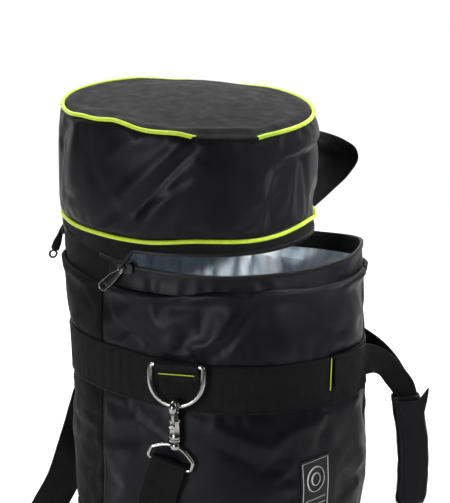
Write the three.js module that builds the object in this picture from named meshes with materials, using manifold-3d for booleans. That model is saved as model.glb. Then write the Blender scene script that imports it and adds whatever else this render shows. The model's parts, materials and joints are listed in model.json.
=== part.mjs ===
// Round padded carry bag standing on end, with a drum-shaped zip lid. Millimetres, +Z up, front towards -Y.
import * as THREE from "three";
import { mergeVertices } from "three/addons/utils/BufferGeometryUtils.js";
import Module from "manifold-3d";

const wasm = await Module();
wasm.setup();

// Body of the bag
const BODY_HEIGHT = 419; // height of the mouth at its left and right ends
const RIM_START = 330; // height where the slumped mouth begins
const RIM_TILT = THREE.MathUtils.degToRad(10); // fall of the mouth towards its front and back
const RIM_ROUND = 15; // half width of the rounded ridge between the two falls
const RIM_ROLL = 0.04; // fall of the mouth for each millimetre to the right
const SECTIONS = [
  { height: 0, halfWidth: 140, halfDepth: 138, endRadius: 134, centreX: 0 },
  { height: 90, halfWidth: 147, halfDepth: 136, endRadius: 120, centreX: 5 },
  { height: 180, halfWidth: 151, halfDepth: 132, endRadius: 110, centreX: 9 },
  { height: 310, halfWidth: 152, halfDepth: 124, endRadius: 98, centreX: 5 },
  { height: BODY_HEIGHT, halfWidth: 155, halfDepth: 108, endRadius: 75, centreX: 0 },
];
const SKIN = 1.6; // coated cloth
const FOAM = 4.6; // padding
const GAP = 0.4; // clearance between pieces
const LAYER_GAP = 1; // clearance between the layers of the padded wall
const BASE_CLOTH = 2;
const BASE_BOARD = 3;
const SEAM_HEIGHT = 389; // where the wall meets the zip tape
const FACING_BOTTOM = 398; // where the lining is sewn to the facing behind the zip
const PIPING_RADIUS = 2.8;
const SEGMENTS = 60;
const STEP = 360 / SEGMENTS;

// Webbing bands and carry handle
const BAND_WIDTH = 50;
const BAND_THICK = 2;
const UPPER_BAND_HEIGHT = 289;
const LOWER_BAND_HEIGHT = 92;
const BAND_FALL = 0.058; // the band drops this much per millimetre to the right
const BAND_BOW = 5; // and rises by this much at both sides
const HANDLE_WEBBING = 25; // width in the grip
const HANDLE_END_WIDTH = 34; // width where it is sewn to the band
const HANDLE_THICK = 2.4;
const GRIP_LENGTH = 120;
const GRIP_WIDTH = 34;
const GRIP_DEPTH = 17;
const GRIP_WALL = 3;

// Drum lid
const LID_X = -26;
const LID_Y = 22;
const LID_BOTTOM = 424;
const LID_BOTTOM_RADIUS = 131;
const LID_TOP_RADIUS = 129;
const LID_PIPING_LOW = 13.5; // measured up from the bottom of the lid
const LID_PIPING_HIGH = 123;
const LID_DOME = 8;

// Zips
const CHAIN_THICK = 4.6;
const CHAIN_WIDTH = 4.7;
const TAPE_THICK = 1.4;
const CHAIN_START = 222;
const CHAIN_END = 534;
const SLIDER_LENGTH = 18;
const SLIDER_PLATE = 1.5;
const SLIDER_CLEARANCE = 1.5;
const PULL_TOP = -1.2; // below the axis it swings on
const PULL_LENGTH = 36;
const PULL_WIDTH = 10;
const PULL_THICK = 2;
const PULL_SWING = THREE.MathUtils.degToRad(13); // the wall bulges out below the slider

// Shoulder strap and its fittings
const STRAP_WIDTH = 38;
const STRAP_THICK = 2.2;
const RING_WIDTH = 60;
const RING_HEIGHT = 46;
const RING_WIRE = 4.8;
const RING_TAB_WIDTH = 46;
const FRONT_RING_ANGLE = 252;
const REAR_RING_ANGLE = 150;

const radians = THREE.MathUtils.degToRad;
const lerp = THREE.MathUtils.lerp;
const smooth = THREE.MathUtils.smoothstep;

function material(name, colour, roughness, metalness) {
  return new THREE.MeshStandardMaterial({ name, color: colour, roughness, metalness });
}

function glossNylon() {
  return material("gloss_nylon", 0x14151a, 0.45, 0);
}

function matteNylon() {
  return material("matte_nylon", 0x101012, 0.9, 0);
}

function webbingCloth() {
  return material("webbing", 0x0e0e10, 0.85, 0);
}

function limeCord() {
  return material("lime_piping", 0xcbe636, 0.6, 0);
}

function paddingFoam() {
  return material("padding", 0x3a3a3e, 1, 0);
}

function silverLining() {
  return material("silver_lining", 0x9aa6b0, 0.5, 0);
}

function zipCloth() {
  return material("zip_tape", 0x0b0b0c, 0.9, 0);
}

function zipMetal() {
  return material("dark_metal", 0x2a2b2e, 0.35, 1);
}

function brightMetal() {
  return material("nickel", 0xc8cacc, 0.2, 1);
}

const bag = new THREE.Group();
bag.name = "cylindrical_carry_bag";

function add(name, geometry, look) {
  const mesh = new THREE.Mesh(geometry, look);
  mesh.name = name;
  bag.add(mesh);
}

// Moves every vertex with a function of its first position, then welds the seams.
function warp(geometry, move) {
  const positions = geometry.getAttribute("position");
  const point = new THREE.Vector3();
  for (let i = 0; i < positions.count; i += 1) {
    point.fromBufferAttribute(positions, i);
    const moved = move(point);
    positions.setXYZ(i, moved.x, moved.y, moved.z);
  }
  geometry.deleteAttribute("normal");
  geometry.deleteAttribute("uv");
  const welded = mergeVertices(geometry, 1e-3);
  welded.computeVertexNormals();
  return welded;
}

function toSolid(geometry) {
  geometry.deleteAttribute("normal");
  geometry.deleteAttribute("uv");
  const welded = mergeVertices(geometry, 1e-4);
  const vertProperties = new Float32Array(welded.getAttribute("position").array);
  const triVerts = new Uint32Array(welded.getIndex().array);
  return new wasm.Manifold(new wasm.Mesh({ numProp: 3, vertProperties, triVerts }));
}

function toGeometry(solid) {
  const mesh = solid.getMesh();
  const geometry = new THREE.BufferGeometry();
  geometry.setAttribute("position", new THREE.BufferAttribute(mesh.vertProperties, 3));
  geometry.setIndex(new THREE.BufferAttribute(mesh.triVerts, 1));
  geometry.computeVertexNormals();
  return geometry;
}

// Section of the body at a height, blended between the stations.
function sectionAt(height) {
  const last = SECTIONS.length - 2;
  let index = 0;
  while (index < last && height > SECTIONS[index + 1].height) {
    index += 1;
  }
  const low = SECTIONS[index];
  const high = SECTIONS[index + 1];
  const t = THREE.MathUtils.clamp((height - low.height) / (high.height - low.height), 0, 1);
  return {
    halfWidth: lerp(low.halfWidth, high.halfWidth, t),
    halfDepth: lerp(low.halfDepth, high.halfDepth, t),
    endRadius: lerp(low.endRadius, high.endRadius, t),
    centreX: lerp(low.centreX, high.centreX, t),
  };
}

function sideRadius(section) {
  const endCentre = section.halfWidth - section.endRadius;
  const squares = endCentre ** 2 + section.halfDepth ** 2 - section.endRadius ** 2;
  return squares / (2 * (section.halfDepth - section.endRadius));
}

// Distance from the middle of a four-arc oval to its edge, in the direction of an angle in degrees.
function ovalRadius(section, angle) {
  const cos = Math.abs(Math.cos(radians(angle)));
  const sin = Math.abs(Math.sin(radians(angle)));
  const endCentre = section.halfWidth - section.endRadius;
  const side = sideRadius(section);
  const sideCentre = side - section.halfDepth;
  const reach = Math.hypot(endCentre, sideCentre);
  const jointX = endCentre + (section.endRadius * endCentre) / reach;
  const jointY = (section.endRadius * sideCentre) / reach;
  if (sin * jointX < cos * jointY) {
    const along = cos * endCentre;
    return along + Math.sqrt(along ** 2 - endCentre ** 2 + section.endRadius ** 2);
  }
  const along = -sin * sideCentre;
  return along + Math.sqrt(along ** 2 - sideCentre ** 2 + side ** 2);
}

// Point on the body wall: angle in degrees from +X, height up the wall, distance outward from its face.
function bodyPoint(angle, height, outward) {
  const section = sectionAt(height);
  const radius = ovalRadius(section, angle) + outward;
  const x = section.centreX + radius * Math.cos(radians(angle));
  const y = radius * Math.sin(radians(angle));
  const rise = smooth(height, RIM_START, BODY_HEIGHT);
  const fall = Math.sin(RIM_TILT) * (Math.hypot(y, RIM_ROUND) - RIM_ROUND);
  const depth = y * (1 - rise * (1 - Math.cos(RIM_TILT)));
  return new THREE.Vector3(x, depth, height - rise * (fall + RIM_ROLL * x));
}

// Point on the lid: angle in degrees, height from its bottom, distance from its middle.
function lidPointAt(angle, height, radius) {
  const x = radius * Math.cos(radians(angle));
  const y = radius * Math.sin(radians(angle));
  const share = height / LID_PIPING_HIGH;
  const leanX = lerp(0.034, 0.015, share);
  const leanY = lerp(0.02, 0.05, share);
  return new THREE.Vector3(LID_X + x, LID_Y + y, LID_BOTTOM + height - leanX * x + leanY * y);
}

function lidPoint(angle, height, outward) {
  const share = height / LID_PIPING_HIGH;
  return lidPointAt(angle, height, lerp(LID_BOTTOM_RADIUS, LID_TOP_RADIUS, share) + outward);
}

// Closed ring all the way round. Each profile corner is [outward, height].
function ring(profile, pointOn) {
  const shift = 1000;
  const corners = profile.map((corner) => new THREE.Vector2(shift + corner[0], corner[1]));
  corners.push(corners[0].clone());
  const lathe = new THREE.LatheGeometry(corners, SEGMENTS);
  return warp(lathe, (p) => {
    const angle = THREE.MathUtils.radToDeg(Math.atan2(p.x, p.z)) - 90;
    return pointOn(angle, p.y, Math.hypot(p.x, p.z) - shift);
  });
}

// Part of a ring of any profile between two angles, closed at both ends.
function arcPiece(profile, start, end, pointOn) {
  const shape = new THREE.Shape(profile.map((corner) => new THREE.Vector2(corner[0], corner[1])));
  const steps = Math.round((end - start) / STEP);
  const prism = new THREE.ExtrudeGeometry(shape, { depth: 1, steps, bevelEnabled: false });
  return warp(prism, (p) => pointOn(end - p.z * (end - start), p.y, p.x));
}

// Part of a wall between two angles, with a row of corners at each height.
function wallPiece(heights, outer, inner, start, end, pointOn) {
  const rows = heights.length - 1;
  const steps = Math.round((end - start) / STEP);
  const box = new THREE.BoxGeometry(1, 1, 1, 1, rows, steps);
  return warp(box, (p) => {
    const height = heights[Math.round((p.y + 0.5) * rows)];
    return pointOn(end - (p.z + 0.5) * (end - start), height, lerp(inner, outer, p.x + 0.5));
  });
}

// Disc about a vertical middle, with a rounded outline. Each corner is [share of the radius, height].
function disc(profile, pointOn) {
  const corners = profile.map((corner) => new THREE.Vector2(corner[0], corner[1]));
  const lathe = new THREE.LatheGeometry(corners, SEGMENTS);
  return warp(lathe, (p) => {
    const share = Math.hypot(p.x, p.z);
    const angle = THREE.MathUtils.radToDeg(Math.atan2(p.x, p.z)) - 90;
    return pointOn(angle, p.y, share);
  });
}

// Wall profile between an outer and an inner face, with a corner at each listed height.
function wallProfile(heights, outer, inner) {
  const up = heights.map((height) => [outer, height]);
  const down = heights.map((height) => [inner, height]).reverse();
  return [...up, ...down];
}

function roundProfile(radius, middle, height, sides) {
  const corners = [];
  for (let i = 0; i < sides; i += 1) {
    const turn = (2 * Math.PI * i) / sides;
    corners.push([middle + radius * Math.cos(turn), height + radius * Math.sin(turn)]);
  }
  return corners;
}

// Flat webbing that follows a path; acrossAt() gives the direction of its width at each point.
function webbing(path, acrossAt, widthAt, thick, steps) {
  const box = new THREE.BoxGeometry(1, 1, thick, steps, 1, 1);
  return warp(box, (p) => {
    const t = THREE.MathUtils.clamp(p.x + 0.5, 0, 1);
    const centre = path.getPoint(t);
    const along = path.getTangent(t);
    const out = new THREE.Vector3().crossVectors(along, acrossAt(t, centre, along)).normalize();
    const across = new THREE.Vector3().crossVectors(out, along);
    const width = widthAt(centre);
    return centre.addScaledVector(across, p.y * width).addScaledVector(out, p.z);
  });
}

function curve(points) {
  return new THREE.CatmullRomCurve3(points, false, "centripetal");
}

function vector(x, y, z) {
  return new THREE.Vector3(x, y, z);
}

// Places geometry made about the origin: its +X, +Y and +Z go along three given directions.
function placed(geometry, origin, alongX, alongY, alongZ) {
  const frame = new THREE.Matrix4().makeBasis(alongX, alongY, alongZ);
  frame.setPosition(origin);
  return geometry.applyMatrix4(frame);
}

function block(x, y, z) {
  return toSolid(new THREE.BoxGeometry(x, y, z));
}

function plate(shape, thick, bevel, curveSegments) {
  const depth = thick - 2 * bevel;
  const options = { depth, bevelEnabled: bevel > 0, bevelThickness: bevel, bevelSize: bevel };
  options.bevelSegments = 1;
  options.curveSegments = curveSegments;
  const geometry = new THREE.ExtrudeGeometry(shape, options);
  geometry.translate(0, 0, -depth / 2);
  return geometry;
}

// --- Body ---
const BASE_TOP = BASE_CLOTH + GAP;
const WALL_LOW = 8;
const FOAM_TOP = SEAM_HEIGHT - 4;
const FOAM_HEIGHTS = [WALL_LOW, 90, 180, 310, 345, 368, FOAM_TOP];
const WALL_HEIGHTS = [...FOAM_HEIGHTS, SEAM_HEIGHT];
const FOAM_OUT = -SKIN - LAYER_GAP;
const FOAM_IN = FOAM_OUT - FOAM;
const LINING_OUT = FOAM_IN - LAYER_GAP;
const LINING_IN = LINING_OUT - 1.2;
const FRONT_PANEL = [216, 354];
const REAR_PANEL = [354, 576];

function basePoint(inset) {
  return (angle, height, share) => {
    const edge = bodyPoint(angle, 8, inset);
    return vector(edge.x * share, edge.y * share, height);
  };
}

const discProfile = (low, high) => [[0, low], [1, low], [1, high], [0, high]];

add("base_panel", disc(discProfile(0, BASE_CLOTH), basePoint(-4)), matteNylon());
const boardTop = BASE_TOP + BASE_BOARD;
add("base_board", disc(discProfile(BASE_TOP, boardTop), basePoint(LINING_IN - 4)), paddingFoam());
const floorLow = boardTop + GAP;
add("base_lining", disc(discProfile(floorLow, floorLow + 1.2), basePoint(LINING_IN - 4)), silverLining());
add("base_piping", ring(roundProfile(PIPING_RADIUS, 0.6, 4.8, 6), bodyPoint), limeCord());

function outerPanel(start, end) {
  return wallPiece(WALL_HEIGHTS, 0, -SKIN, start + 0.15, end - 0.15, bodyPoint);
}
add("outer_front_panel", outerPanel(FRONT_PANEL[0], FRONT_PANEL[1]), glossNylon());
add("outer_rear_panel", outerPanel(REAR_PANEL[0], REAR_PANEL[1]), matteNylon());
add("wall_foam", ring(wallProfile(FOAM_HEIGHTS, FOAM_OUT, FOAM_IN), bodyPoint), paddingFoam());
const CHAIN_LOW = BODY_HEIGHT - CHAIN_WIDTH;
const FACING_OUT = -TAPE_THICK - GAP;
const liningRows = FOAM_HEIGHTS.slice(1, -1);
const liningProfile = [
  [LINING_OUT, BASE_TOP + 1],
  ...liningRows.map((height) => [LINING_OUT, height]),
  [LINING_OUT, FOAM_TOP + GAP],
  [FACING_OUT, SEAM_HEIGHT + 2],
  [FACING_OUT, FACING_BOTTOM - GAP],
  [FACING_OUT - 1.2, FACING_BOTTOM - GAP],
  [FACING_OUT - 1.2, SEAM_HEIGHT + 6],
  [LINING_IN, FOAM_TOP + 4],
  ...liningRows.map((height) => [LINING_IN, height]).reverse(),
  [LINING_IN, BASE_TOP + 1],
];
add("wall_lining", ring(liningProfile, bodyPoint), silverLining());

const facingRows = [FACING_BOTTOM, 406, CHAIN_LOW - GAP];
add("mouth_facing", ring(wallProfile(facingRows, FACING_OUT, FACING_OUT - 1), bodyPoint), matteNylon());
const tapeHeights = [SEAM_HEIGHT + GAP, 402, CHAIN_LOW - GAP];
add("lower_zip_tape", wallPiece(tapeHeights, 0, -TAPE_THICK, 216, 546, bodyPoint), zipCloth());
const chainMiddle = -TAPE_THICK / 2;
const chainOut = chainMiddle + CHAIN_THICK / 2;
const chainIn = chainMiddle - CHAIN_THICK / 2;
const lowerChain = wallPiece([CHAIN_LOW, BODY_HEIGHT], chainOut, chainIn, CHAIN_START, CHAIN_END, bodyPoint);
add("lower_zip_chain", lowerChain, zipMetal());

// Cloth hinge that carries the lid, standing on the rim between the two ends of the zip.
const hingeProfile = wallProfile([SEAM_HEIGHT + GAP, 402, CHAIN_LOW - GAP], 0, -TAPE_THICK);
hingeProfile.splice(3, 0, [-1, BODY_HEIGHT + 2], [-1 - TAPE_THICK, BODY_HEIGHT + 2]);
add("hinge_flap", arcPiece(hingeProfile, 186.3, 215.7, bodyPoint), zipCloth());

// --- Webbing bands ---
const BAND_OUT = 0.9;
function bandPoint(angle, height, outward) {
  const across = Math.cos(radians(angle));
  return bodyPoint(angle, height - BAND_FALL * 150 * across + BAND_BOW * across ** 2, outward);
}
function bandProfile(middle) {
  const low = middle - BAND_WIDTH / 2;
  return wallProfile([low, middle, low + BAND_WIDTH], BAND_OUT + BAND_THICK, BAND_OUT);
}
add("upper_band", ring(bandProfile(UPPER_BAND_HEIGHT), bandPoint), webbingCloth());
add("lower_band", ring(bandProfile(LOWER_BAND_HEIGHT), bandPoint), webbingCloth());

// --- Label ---
const LABEL_OUT = 0.8;
const labelPatch = wallPiece([128, 180, 208], LABEL_OUT + 1, LABEL_OUT, 306, 320.8, bodyPoint);
add("label_patch", labelPatch, material("label", 0x18181a, 0.8, 0));

// --- Carry handle on the right ---
const STRAP_OUT = BAND_OUT + BAND_THICK + 2 + HANDLE_THICK / 2;
const HANDLE_ROOT = 35; // angle from +X where the straps are sewn down
const HANDLE_LEAVE = 13; // angle from +X where they leave the band
const HANDLE_SHIFT = 8; // each end lies this far off the middle of its band, away from the grip
const WALL_LEAN = 1.6; // extra clearance at the lower ends, where the wall leans outward
const GRIP_MIDDLE = 184;
const GRIP_X = 212.5;
const GRIP_BOW_HEIGHT = 165;
const STACK = HANDLE_THICK / 2 + 0.5;

function gripXAt(z) {
  return GRIP_X - 0.0016 * (z - GRIP_BOW_HEIGHT) ** 2;
}

function handlePath(sign) {
  const angles = [HANDLE_ROOT, 28, 20, HANDLE_LEAVE];
  const upperHeight = UPPER_BAND_HEIGHT + HANDLE_SHIFT;
  const lowerHeight = LOWER_BAND_HEIGHT - HANDLE_SHIFT;
  const upper = angles.map((angle) => bandPoint(sign * angle, upperHeight, STRAP_OUT));
  const lower = angles.map((angle) => bandPoint(sign * angle, lowerHeight, STRAP_OUT + WALL_LEAN));
  const above = [vector(170, sign * 21, 288), vector(183, sign * 9, 277), vector(192, sign * 2.6, 264)];
  const grip = [252, 238, 215, GRIP_MIDDLE, 150, 128, 115];
  const inside = grip.map((z) => vector(gripXAt(z), sign * STACK, z));
  const below = [vector(200, sign * 4, 101), vector(187, sign * 12, 92), vector(172, sign * 22, 86)];
  return curve([...upper, ...above, ...inside, ...below, ...lower.reverse()]);
}

function handleAcross(side) {
  return (t, centre, along) => {
    const flat = smooth(centre.x, 150, 185);
    const outward = vector(centre.x, centre.y, 0).normalize();
    return outward.multiplyScalar(1 - flat).add(vector(0, side * flat, 0)).cross(along);
  };
}

function handleWidth(centre) {
  return THREE.MathUtils.lerp(HANDLE_END_WIDTH, HANDLE_WEBBING, smooth(centre.x, 150, 185));
}

function handleStrap(side) {
  return webbing(handlePath(side), handleAcross(side), handleWidth, HANDLE_THICK, 44);
}
add("handle_front_strap", handleStrap(-1), webbingCloth());
add("handle_rear_strap", handleStrap(1), webbingCloth());

function roundedBox(shape, width, height, corner) {
  const x = width / 2;
  const y = height / 2;
  shape.moveTo(-x + corner, -y);
  shape.lineTo(x - corner, -y);
  shape.quadraticCurveTo(x, -y, x, -y + corner);
  shape.lineTo(x, y - corner);
  shape.quadraticCurveTo(x, y, x - corner, y);
  shape.lineTo(-x + corner, y);
  shape.quadraticCurveTo(-x, y, -x, y - corner);
  shape.lineTo(-x, -y + corner);
  shape.quadraticCurveTo(-x, -y, -x + corner, -y);
  return shape;
}

const gripShape = roundedBox(new THREE.Shape(), GRIP_WIDTH, GRIP_DEPTH, 7);
const gripHole = [GRIP_WIDTH - 2 * GRIP_WALL, GRIP_DEPTH - 2 * GRIP_WALL];
gripShape.holes.push(roundedBox(new THREE.Path(), gripHole[0], gripHole[1], 4));
const gripOptions = { depth: GRIP_LENGTH, steps: 8, bevelEnabled: false, curveSegments: 4 };
const gripTube = new THREE.ExtrudeGeometry(gripShape, gripOptions);
const gripLow = GRIP_MIDDLE - GRIP_LENGTH / 2;
const gripWrap = warp(gripTube, (p) => vector(p.x + gripXAt(p.z + gripLow), p.y, p.z + gripLow));
add("grip_wrap", gripWrap, matteNylon());

// Hook-and-loop flap that closes the wrap, hinged along the back edge of the grip.
const FLAP_WIDTH = 26;
const FLAP_LENGTH = GRIP_LENGTH - 8;
const FLAP_THICK = 1.6;
const flapBox = new THREE.BoxGeometry(FLAP_WIDTH, FLAP_THICK, FLAP_LENGTH, 2, 1, 8);
const FLAP_Y = -GRIP_DEPTH / 2 - GAP - FLAP_THICK / 2;
const gripFlap = warp(flapBox, (p) => {
  const z = GRIP_MIDDLE + p.z;
  return vector(p.x + gripXAt(z) + 3, p.y + FLAP_Y, z);
});
add("grip_flap", gripFlap, matteNylon());

// --- Lid ---
const LID_WALL_LOW = LID_PIPING_LOW + PIPING_RADIUS + GAP;
const LID_WALL_HIGH = LID_PIPING_HIGH - PIPING_RADIUS - GAP;
const LID_HEIGHTS = [LID_WALL_LOW, 65, LID_WALL_HIGH];
function lidPanel(start, end) {
  return wallPiece(LID_HEIGHTS, 0, -SKIN, start + 0.15, end - 0.15, lidPoint);
}
add("lid_front_panel", lidPanel(132, 312), glossNylon());
add("lid_side_panel", lidPanel(312, 402), glossNylon());
add("lid_rear_panel", lidPanel(402, 492), glossNylon());
add("lid_wall_foam", ring(wallProfile([12, 65, 112], FOAM_OUT, FOAM_IN), lidPoint), paddingFoam());
add("lid_wall_lining", ring(wallProfile([5.2, 65, 111], LINING_OUT, LINING_IN), lidPoint), silverLining());
add("lid_bottom_piping", ring(roundProfile(PIPING_RADIUS, 0.8, LID_PIPING_LOW, 6), lidPoint), limeCord());
add("lid_top_piping", ring(roundProfile(PIPING_RADIUS, 0.8, LID_PIPING_HIGH, 6), lidPoint), limeCord());
const upperTape = wallProfile([CHAIN_WIDTH + GAP, LID_PIPING_LOW - PIPING_RADIUS - GAP], 0, -TAPE_THICK);
add("upper_zip_tape", ring(upperTape, lidPoint), zipCloth());
const upperChain = wallPiece([0, CHAIN_WIDTH], chainOut, chainIn, 228, 558, lidPoint);
add("upper_zip_chain", upperChain, zipMetal());

function domePoint(radius, low) {
  return (angle, height, share) => {
    const lift = LID_DOME * (1 - share * share);
    return lidPointAt(angle, low + height + lift, radius * share);
  };
}
function domeProfile(thick) {
  const shares = [0, 0.5, 0.8, 1];
  const bottom = shares.map((share) => [share, 0]);
  const top = shares.map((share) => [share, thick]).reverse();
  return [...bottom, ...top];
}
const topLow = LID_PIPING_HIGH + 0.4;
const topRadius = LID_TOP_RADIUS - PIPING_RADIUS - 0.4 + 0.8;
add("lid_top_panel", disc(domeProfile(SKIN), domePoint(topRadius, topLow)), glossNylon());
const topFoamLow = topLow - GAP - FOAM;
add("lid_top_foam", disc(domeProfile(FOAM), domePoint(topRadius - 2, topFoamLow)), paddingFoam());
const topLiningLow = topFoamLow - GAP - 1.2;
const topLining = disc(domeProfile(1.2), domePoint(topRadius + LINING_IN, topLiningLow));
add("lid_top_lining", topLining, silverLining());

// Wide cloth pull loop on the right of the lid, sewn on above its lower piping.
const LOOP_ANGLE = 38;
const LOOP_WIDTH = 76;
const LOOP_THICK = 2;
const loopOut = vector(Math.cos(radians(LOOP_ANGLE)), Math.sin(radians(LOOP_ANGLE)), 0);
const loopAcross = vector(-loopOut.y, loopOut.x, 0);
function loopPoint(outward, height) {
  const foot = lidPoint(LOOP_ANGLE, height, 7);
  return foot.addScaledVector(loopOut, outward);
}
const loopPath = curve([
  loopPoint(0, 88),
  loopPoint(22, 82),
  loopPoint(46, 72),
  loopPoint(63, 60),
  loopPoint(66, 48),
  loopPoint(52, 34),
  loopPoint(27, 19),
  loopPoint(0, 5),
]);
const haulLoop = webbing(loopPath, () => loopAcross, () => LOOP_WIDTH, LOOP_THICK, 24);
add("haul_loop", haulLoop, matteNylon());

// --- Zip sliders and pulls on the mouth ---
const MOUTH = SECTIONS[SECTIONS.length - 1];

// Axes at a point of the mouth: along the chain, up from the plane of the rim, and outward.
function mouthFrame(angle, tilt) {
  const middle = BODY_HEIGHT - CHAIN_WIDTH / 2;
  const origin = bodyPoint(angle, middle, chainMiddle);
  const before = bodyPoint(angle - 1, middle, chainMiddle);
  const after = bodyPoint(angle + 1, middle, chainMiddle);
  const along = after.sub(before).normalize();
  const outward = along.clone().cross(vector(RIM_ROLL, Math.sin(tilt), Math.cos(tilt))).normalize();
  const up = outward.clone().cross(along);
  return { origin, along, up, outward };
}

const SLIDER_INNER = CHAIN_THICK / 2 + SLIDER_CLEARANCE;
const SLIDER_TOP = CHAIN_WIDTH / 2 + 0.7;
const SLIDER_HEIGHT = 11.5;

function sliderGeometry() {
  const face = roundedBox(new THREE.Shape(), SLIDER_LENGTH, SLIDER_HEIGHT, 4);
  const middle = SLIDER_TOP + SLIDER_PLATE - SLIDER_HEIGHT / 2;
  const side = SLIDER_INNER + SLIDER_PLATE / 2;
  const outer = plate(face, SLIDER_PLATE, 0, 4).translate(0, middle, side);
  const inner = plate(face, SLIDER_PLATE, 0, 4).translate(0, middle, -side);
  const bridge = block(SLIDER_LENGTH - 8, SLIDER_PLATE, 2 * side);
  const placedBridge = bridge.translate([0, SLIDER_TOP + SLIDER_PLATE / 2, 0]);
  return toGeometry(toSolid(outer).add(toSolid(inner)).add(placedBridge));
}

// Flat tab that widens downward, with a round eye near its end.
function pullGeometry(lean) {
  const half = PULL_WIDTH / 2;
  const shape = new THREE.Shape();
  shape.moveTo(-2.2, PULL_TOP);
  shape.lineTo(2.2, PULL_TOP);
  shape.lineTo(2.6, -8);
  shape.lineTo(half, -18);
  shape.lineTo(half, 1 - PULL_LENGTH + half);
  shape.absarc(0, 1 - PULL_LENGTH + half, half, 0, -Math.PI, true);
  shape.lineTo(-half, -18);
  shape.lineTo(-2.6, -8);
  shape.lineTo(-2.2, PULL_TOP);
  const eye = new THREE.Path();
  eye.absarc(0, 2 - PULL_LENGTH + half, 2.6, 0, 2 * Math.PI, false);
  shape.holes.push(eye);
  return plate(shape, PULL_THICK, 0.4, 8).rotateZ(lean).rotateX(-PULL_SWING);
}

const PULL_OUT = SLIDER_INNER + SLIDER_PLATE + 0.5 + PULL_THICK / 2;

function addSlider(label, angle, tilt, lean) {
  const frame = mouthFrame(angle, tilt);
  const { origin, along, up, outward } = frame;
  add(`${label}_slider`, placed(sliderGeometry(), origin, along, up, outward), zipMetal());
  const pivot = origin.clone().addScaledVector(outward, PULL_OUT);
  add(`${label}_pull`, placed(pullGeometry(lean), pivot, along, up, outward), zipMetal());
}

const FRONT_SLIDER_TURN = radians(-27.5); // about the middle of the front arc of the mouth
const frontSide = sideRadius(MOUTH);
const frontX = frontSide * Math.sin(FRONT_SLIDER_TURN);
const frontY = frontSide - MOUTH.halfDepth - frontSide * Math.cos(FRONT_SLIDER_TURN);
const REAR_SLIDER_TURN = radians(164.5); // about the middle of the left end arc
const rearX = MOUTH.endRadius - MOUTH.halfWidth + MOUTH.endRadius * Math.cos(REAR_SLIDER_TURN);
const rearY = MOUTH.endRadius * Math.sin(REAR_SLIDER_TURN);
addSlider("front", THREE.MathUtils.radToDeg(Math.atan2(frontY, frontX)), -RIM_TILT, radians(-40));
addSlider("rear", THREE.MathUtils.radToDeg(Math.atan2(rearY, rearX)), radians(9.1), radians(14));

// --- Strap rings, tabs, snap hooks and shoulder strap ---
const BAR_HEIGHT = UPPER_BAND_HEIGHT + BAND_WIDTH / 2 - 2;
const TAB_THICK = 1.6;
const TAB_INNER = RING_WIRE / 2 + 0.5;
const TAB_OUTER = TAB_INNER + TAB_THICK;
const RING_OUT = BAND_OUT + BAND_THICK + 2.8 + TAB_OUTER;
const RING_LEAN = radians(6); // the hook behind it holds the ring off the wall
const HOOK_LOOP_OUT = 3.3; // from the ring's wire out to the middle of the hook's loop
const HOOK_THICK = 6;
const BARREL_RADIUS = 5.8;
const BARREL_LENGTH = 27;
const FRONT_EYE_LEAN = radians(-18);
const REAR_EYE_LEAN = radians(25);

function ringFrame(angle) {
  const height = BAR_HEIGHT;
  const origin = bandPoint(angle, height, 0);
  const along = bandPoint(angle + 1, height, 0).sub(bandPoint(angle - 1, height, 0));
  along.z = 0;
  along.normalize();
  const up = vector(0, 0, 1);
  const outward = along.clone().cross(up);
  return { origin, along, up, outward };
}

function at(frame, along, up, outward) {
  const point = frame.origin.clone().addScaledVector(frame.along, along);
  return point.addScaledVector(frame.up, up).addScaledVector(frame.outward, outward);
}

function onFrame(geometry, frame, up, outward) {
  return placed(geometry, at(frame, 0, up, outward), frame.along, frame.up, frame.outward);
}

// Webbing bent over the bar of the ring, with its two ends brought together on the band.
function tabGeometry() {
  const shape = new THREE.Shape();
  shape.moveTo(-TAB_OUTER, -17);
  shape.lineTo(-TAB_INNER, -17);
  shape.lineTo(-TAB_INNER, 0);
  shape.absarc(0, 0, TAB_INNER, Math.PI, 0, true);
  shape.lineTo(TAB_INNER, -2.5);
  shape.lineTo(0.4 - TAB_INNER, -10);
  shape.lineTo(0.4 - TAB_INNER, -17);
  shape.lineTo(0.4 - TAB_INNER + TAB_THICK, -17);
  shape.lineTo(0.4 - TAB_INNER + TAB_THICK, -9.4);
  shape.lineTo(TAB_OUTER, -3);
  shape.lineTo(TAB_OUTER, 0);
  shape.absarc(0, 0, TAB_OUTER, 0, Math.PI, false);
  shape.lineTo(-TAB_OUTER, -17);
  const options = { depth: RING_TAB_WIDTH, bevelEnabled: false, curveSegments: 8 };
  const geometry = new THREE.ExtrudeGeometry(shape, options).translate(0, 0, -RING_TAB_WIDTH / 2);
  return geometry.rotateY(-Math.PI / 2);
}

function dOutline(outline, inset) {
  const half = RING_WIDTH / 2 - inset;
  const top = RING_WIRE / 2 - inset;
  const round = RING_WIRE / 2 - RING_HEIGHT + RING_WIDTH / 2;
  outline.moveTo(half - 3, top);
  outline.lineTo(3 - half, top);
  outline.quadraticCurveTo(-half, top, -half, top - 3);
  outline.lineTo(-half, round);
  outline.absarc(0, round, half, Math.PI, 2 * Math.PI, false);
  outline.lineTo(half, top - 3);
  outline.quadraticCurveTo(half, top, half - 3, top);
  return outline;
}

function ringGeometry() {
  const bevel = 1.4;
  const shape = dOutline(new THREE.Shape(), bevel);
  shape.holes.push(dOutline(new THREE.Path(), RING_WIRE - bevel));
  return plate(shape, RING_WIRE, bevel, 14).rotateX(-RING_LEAN);
}

const LOOP_HALF = 10.5;
const LOOP_UP = 9.5;
const LOOP_METAL = 3.5;
const LOOP_INNER = LOOP_HALF - LOOP_METAL;
const BOLT_TIP = 2.1;

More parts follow.
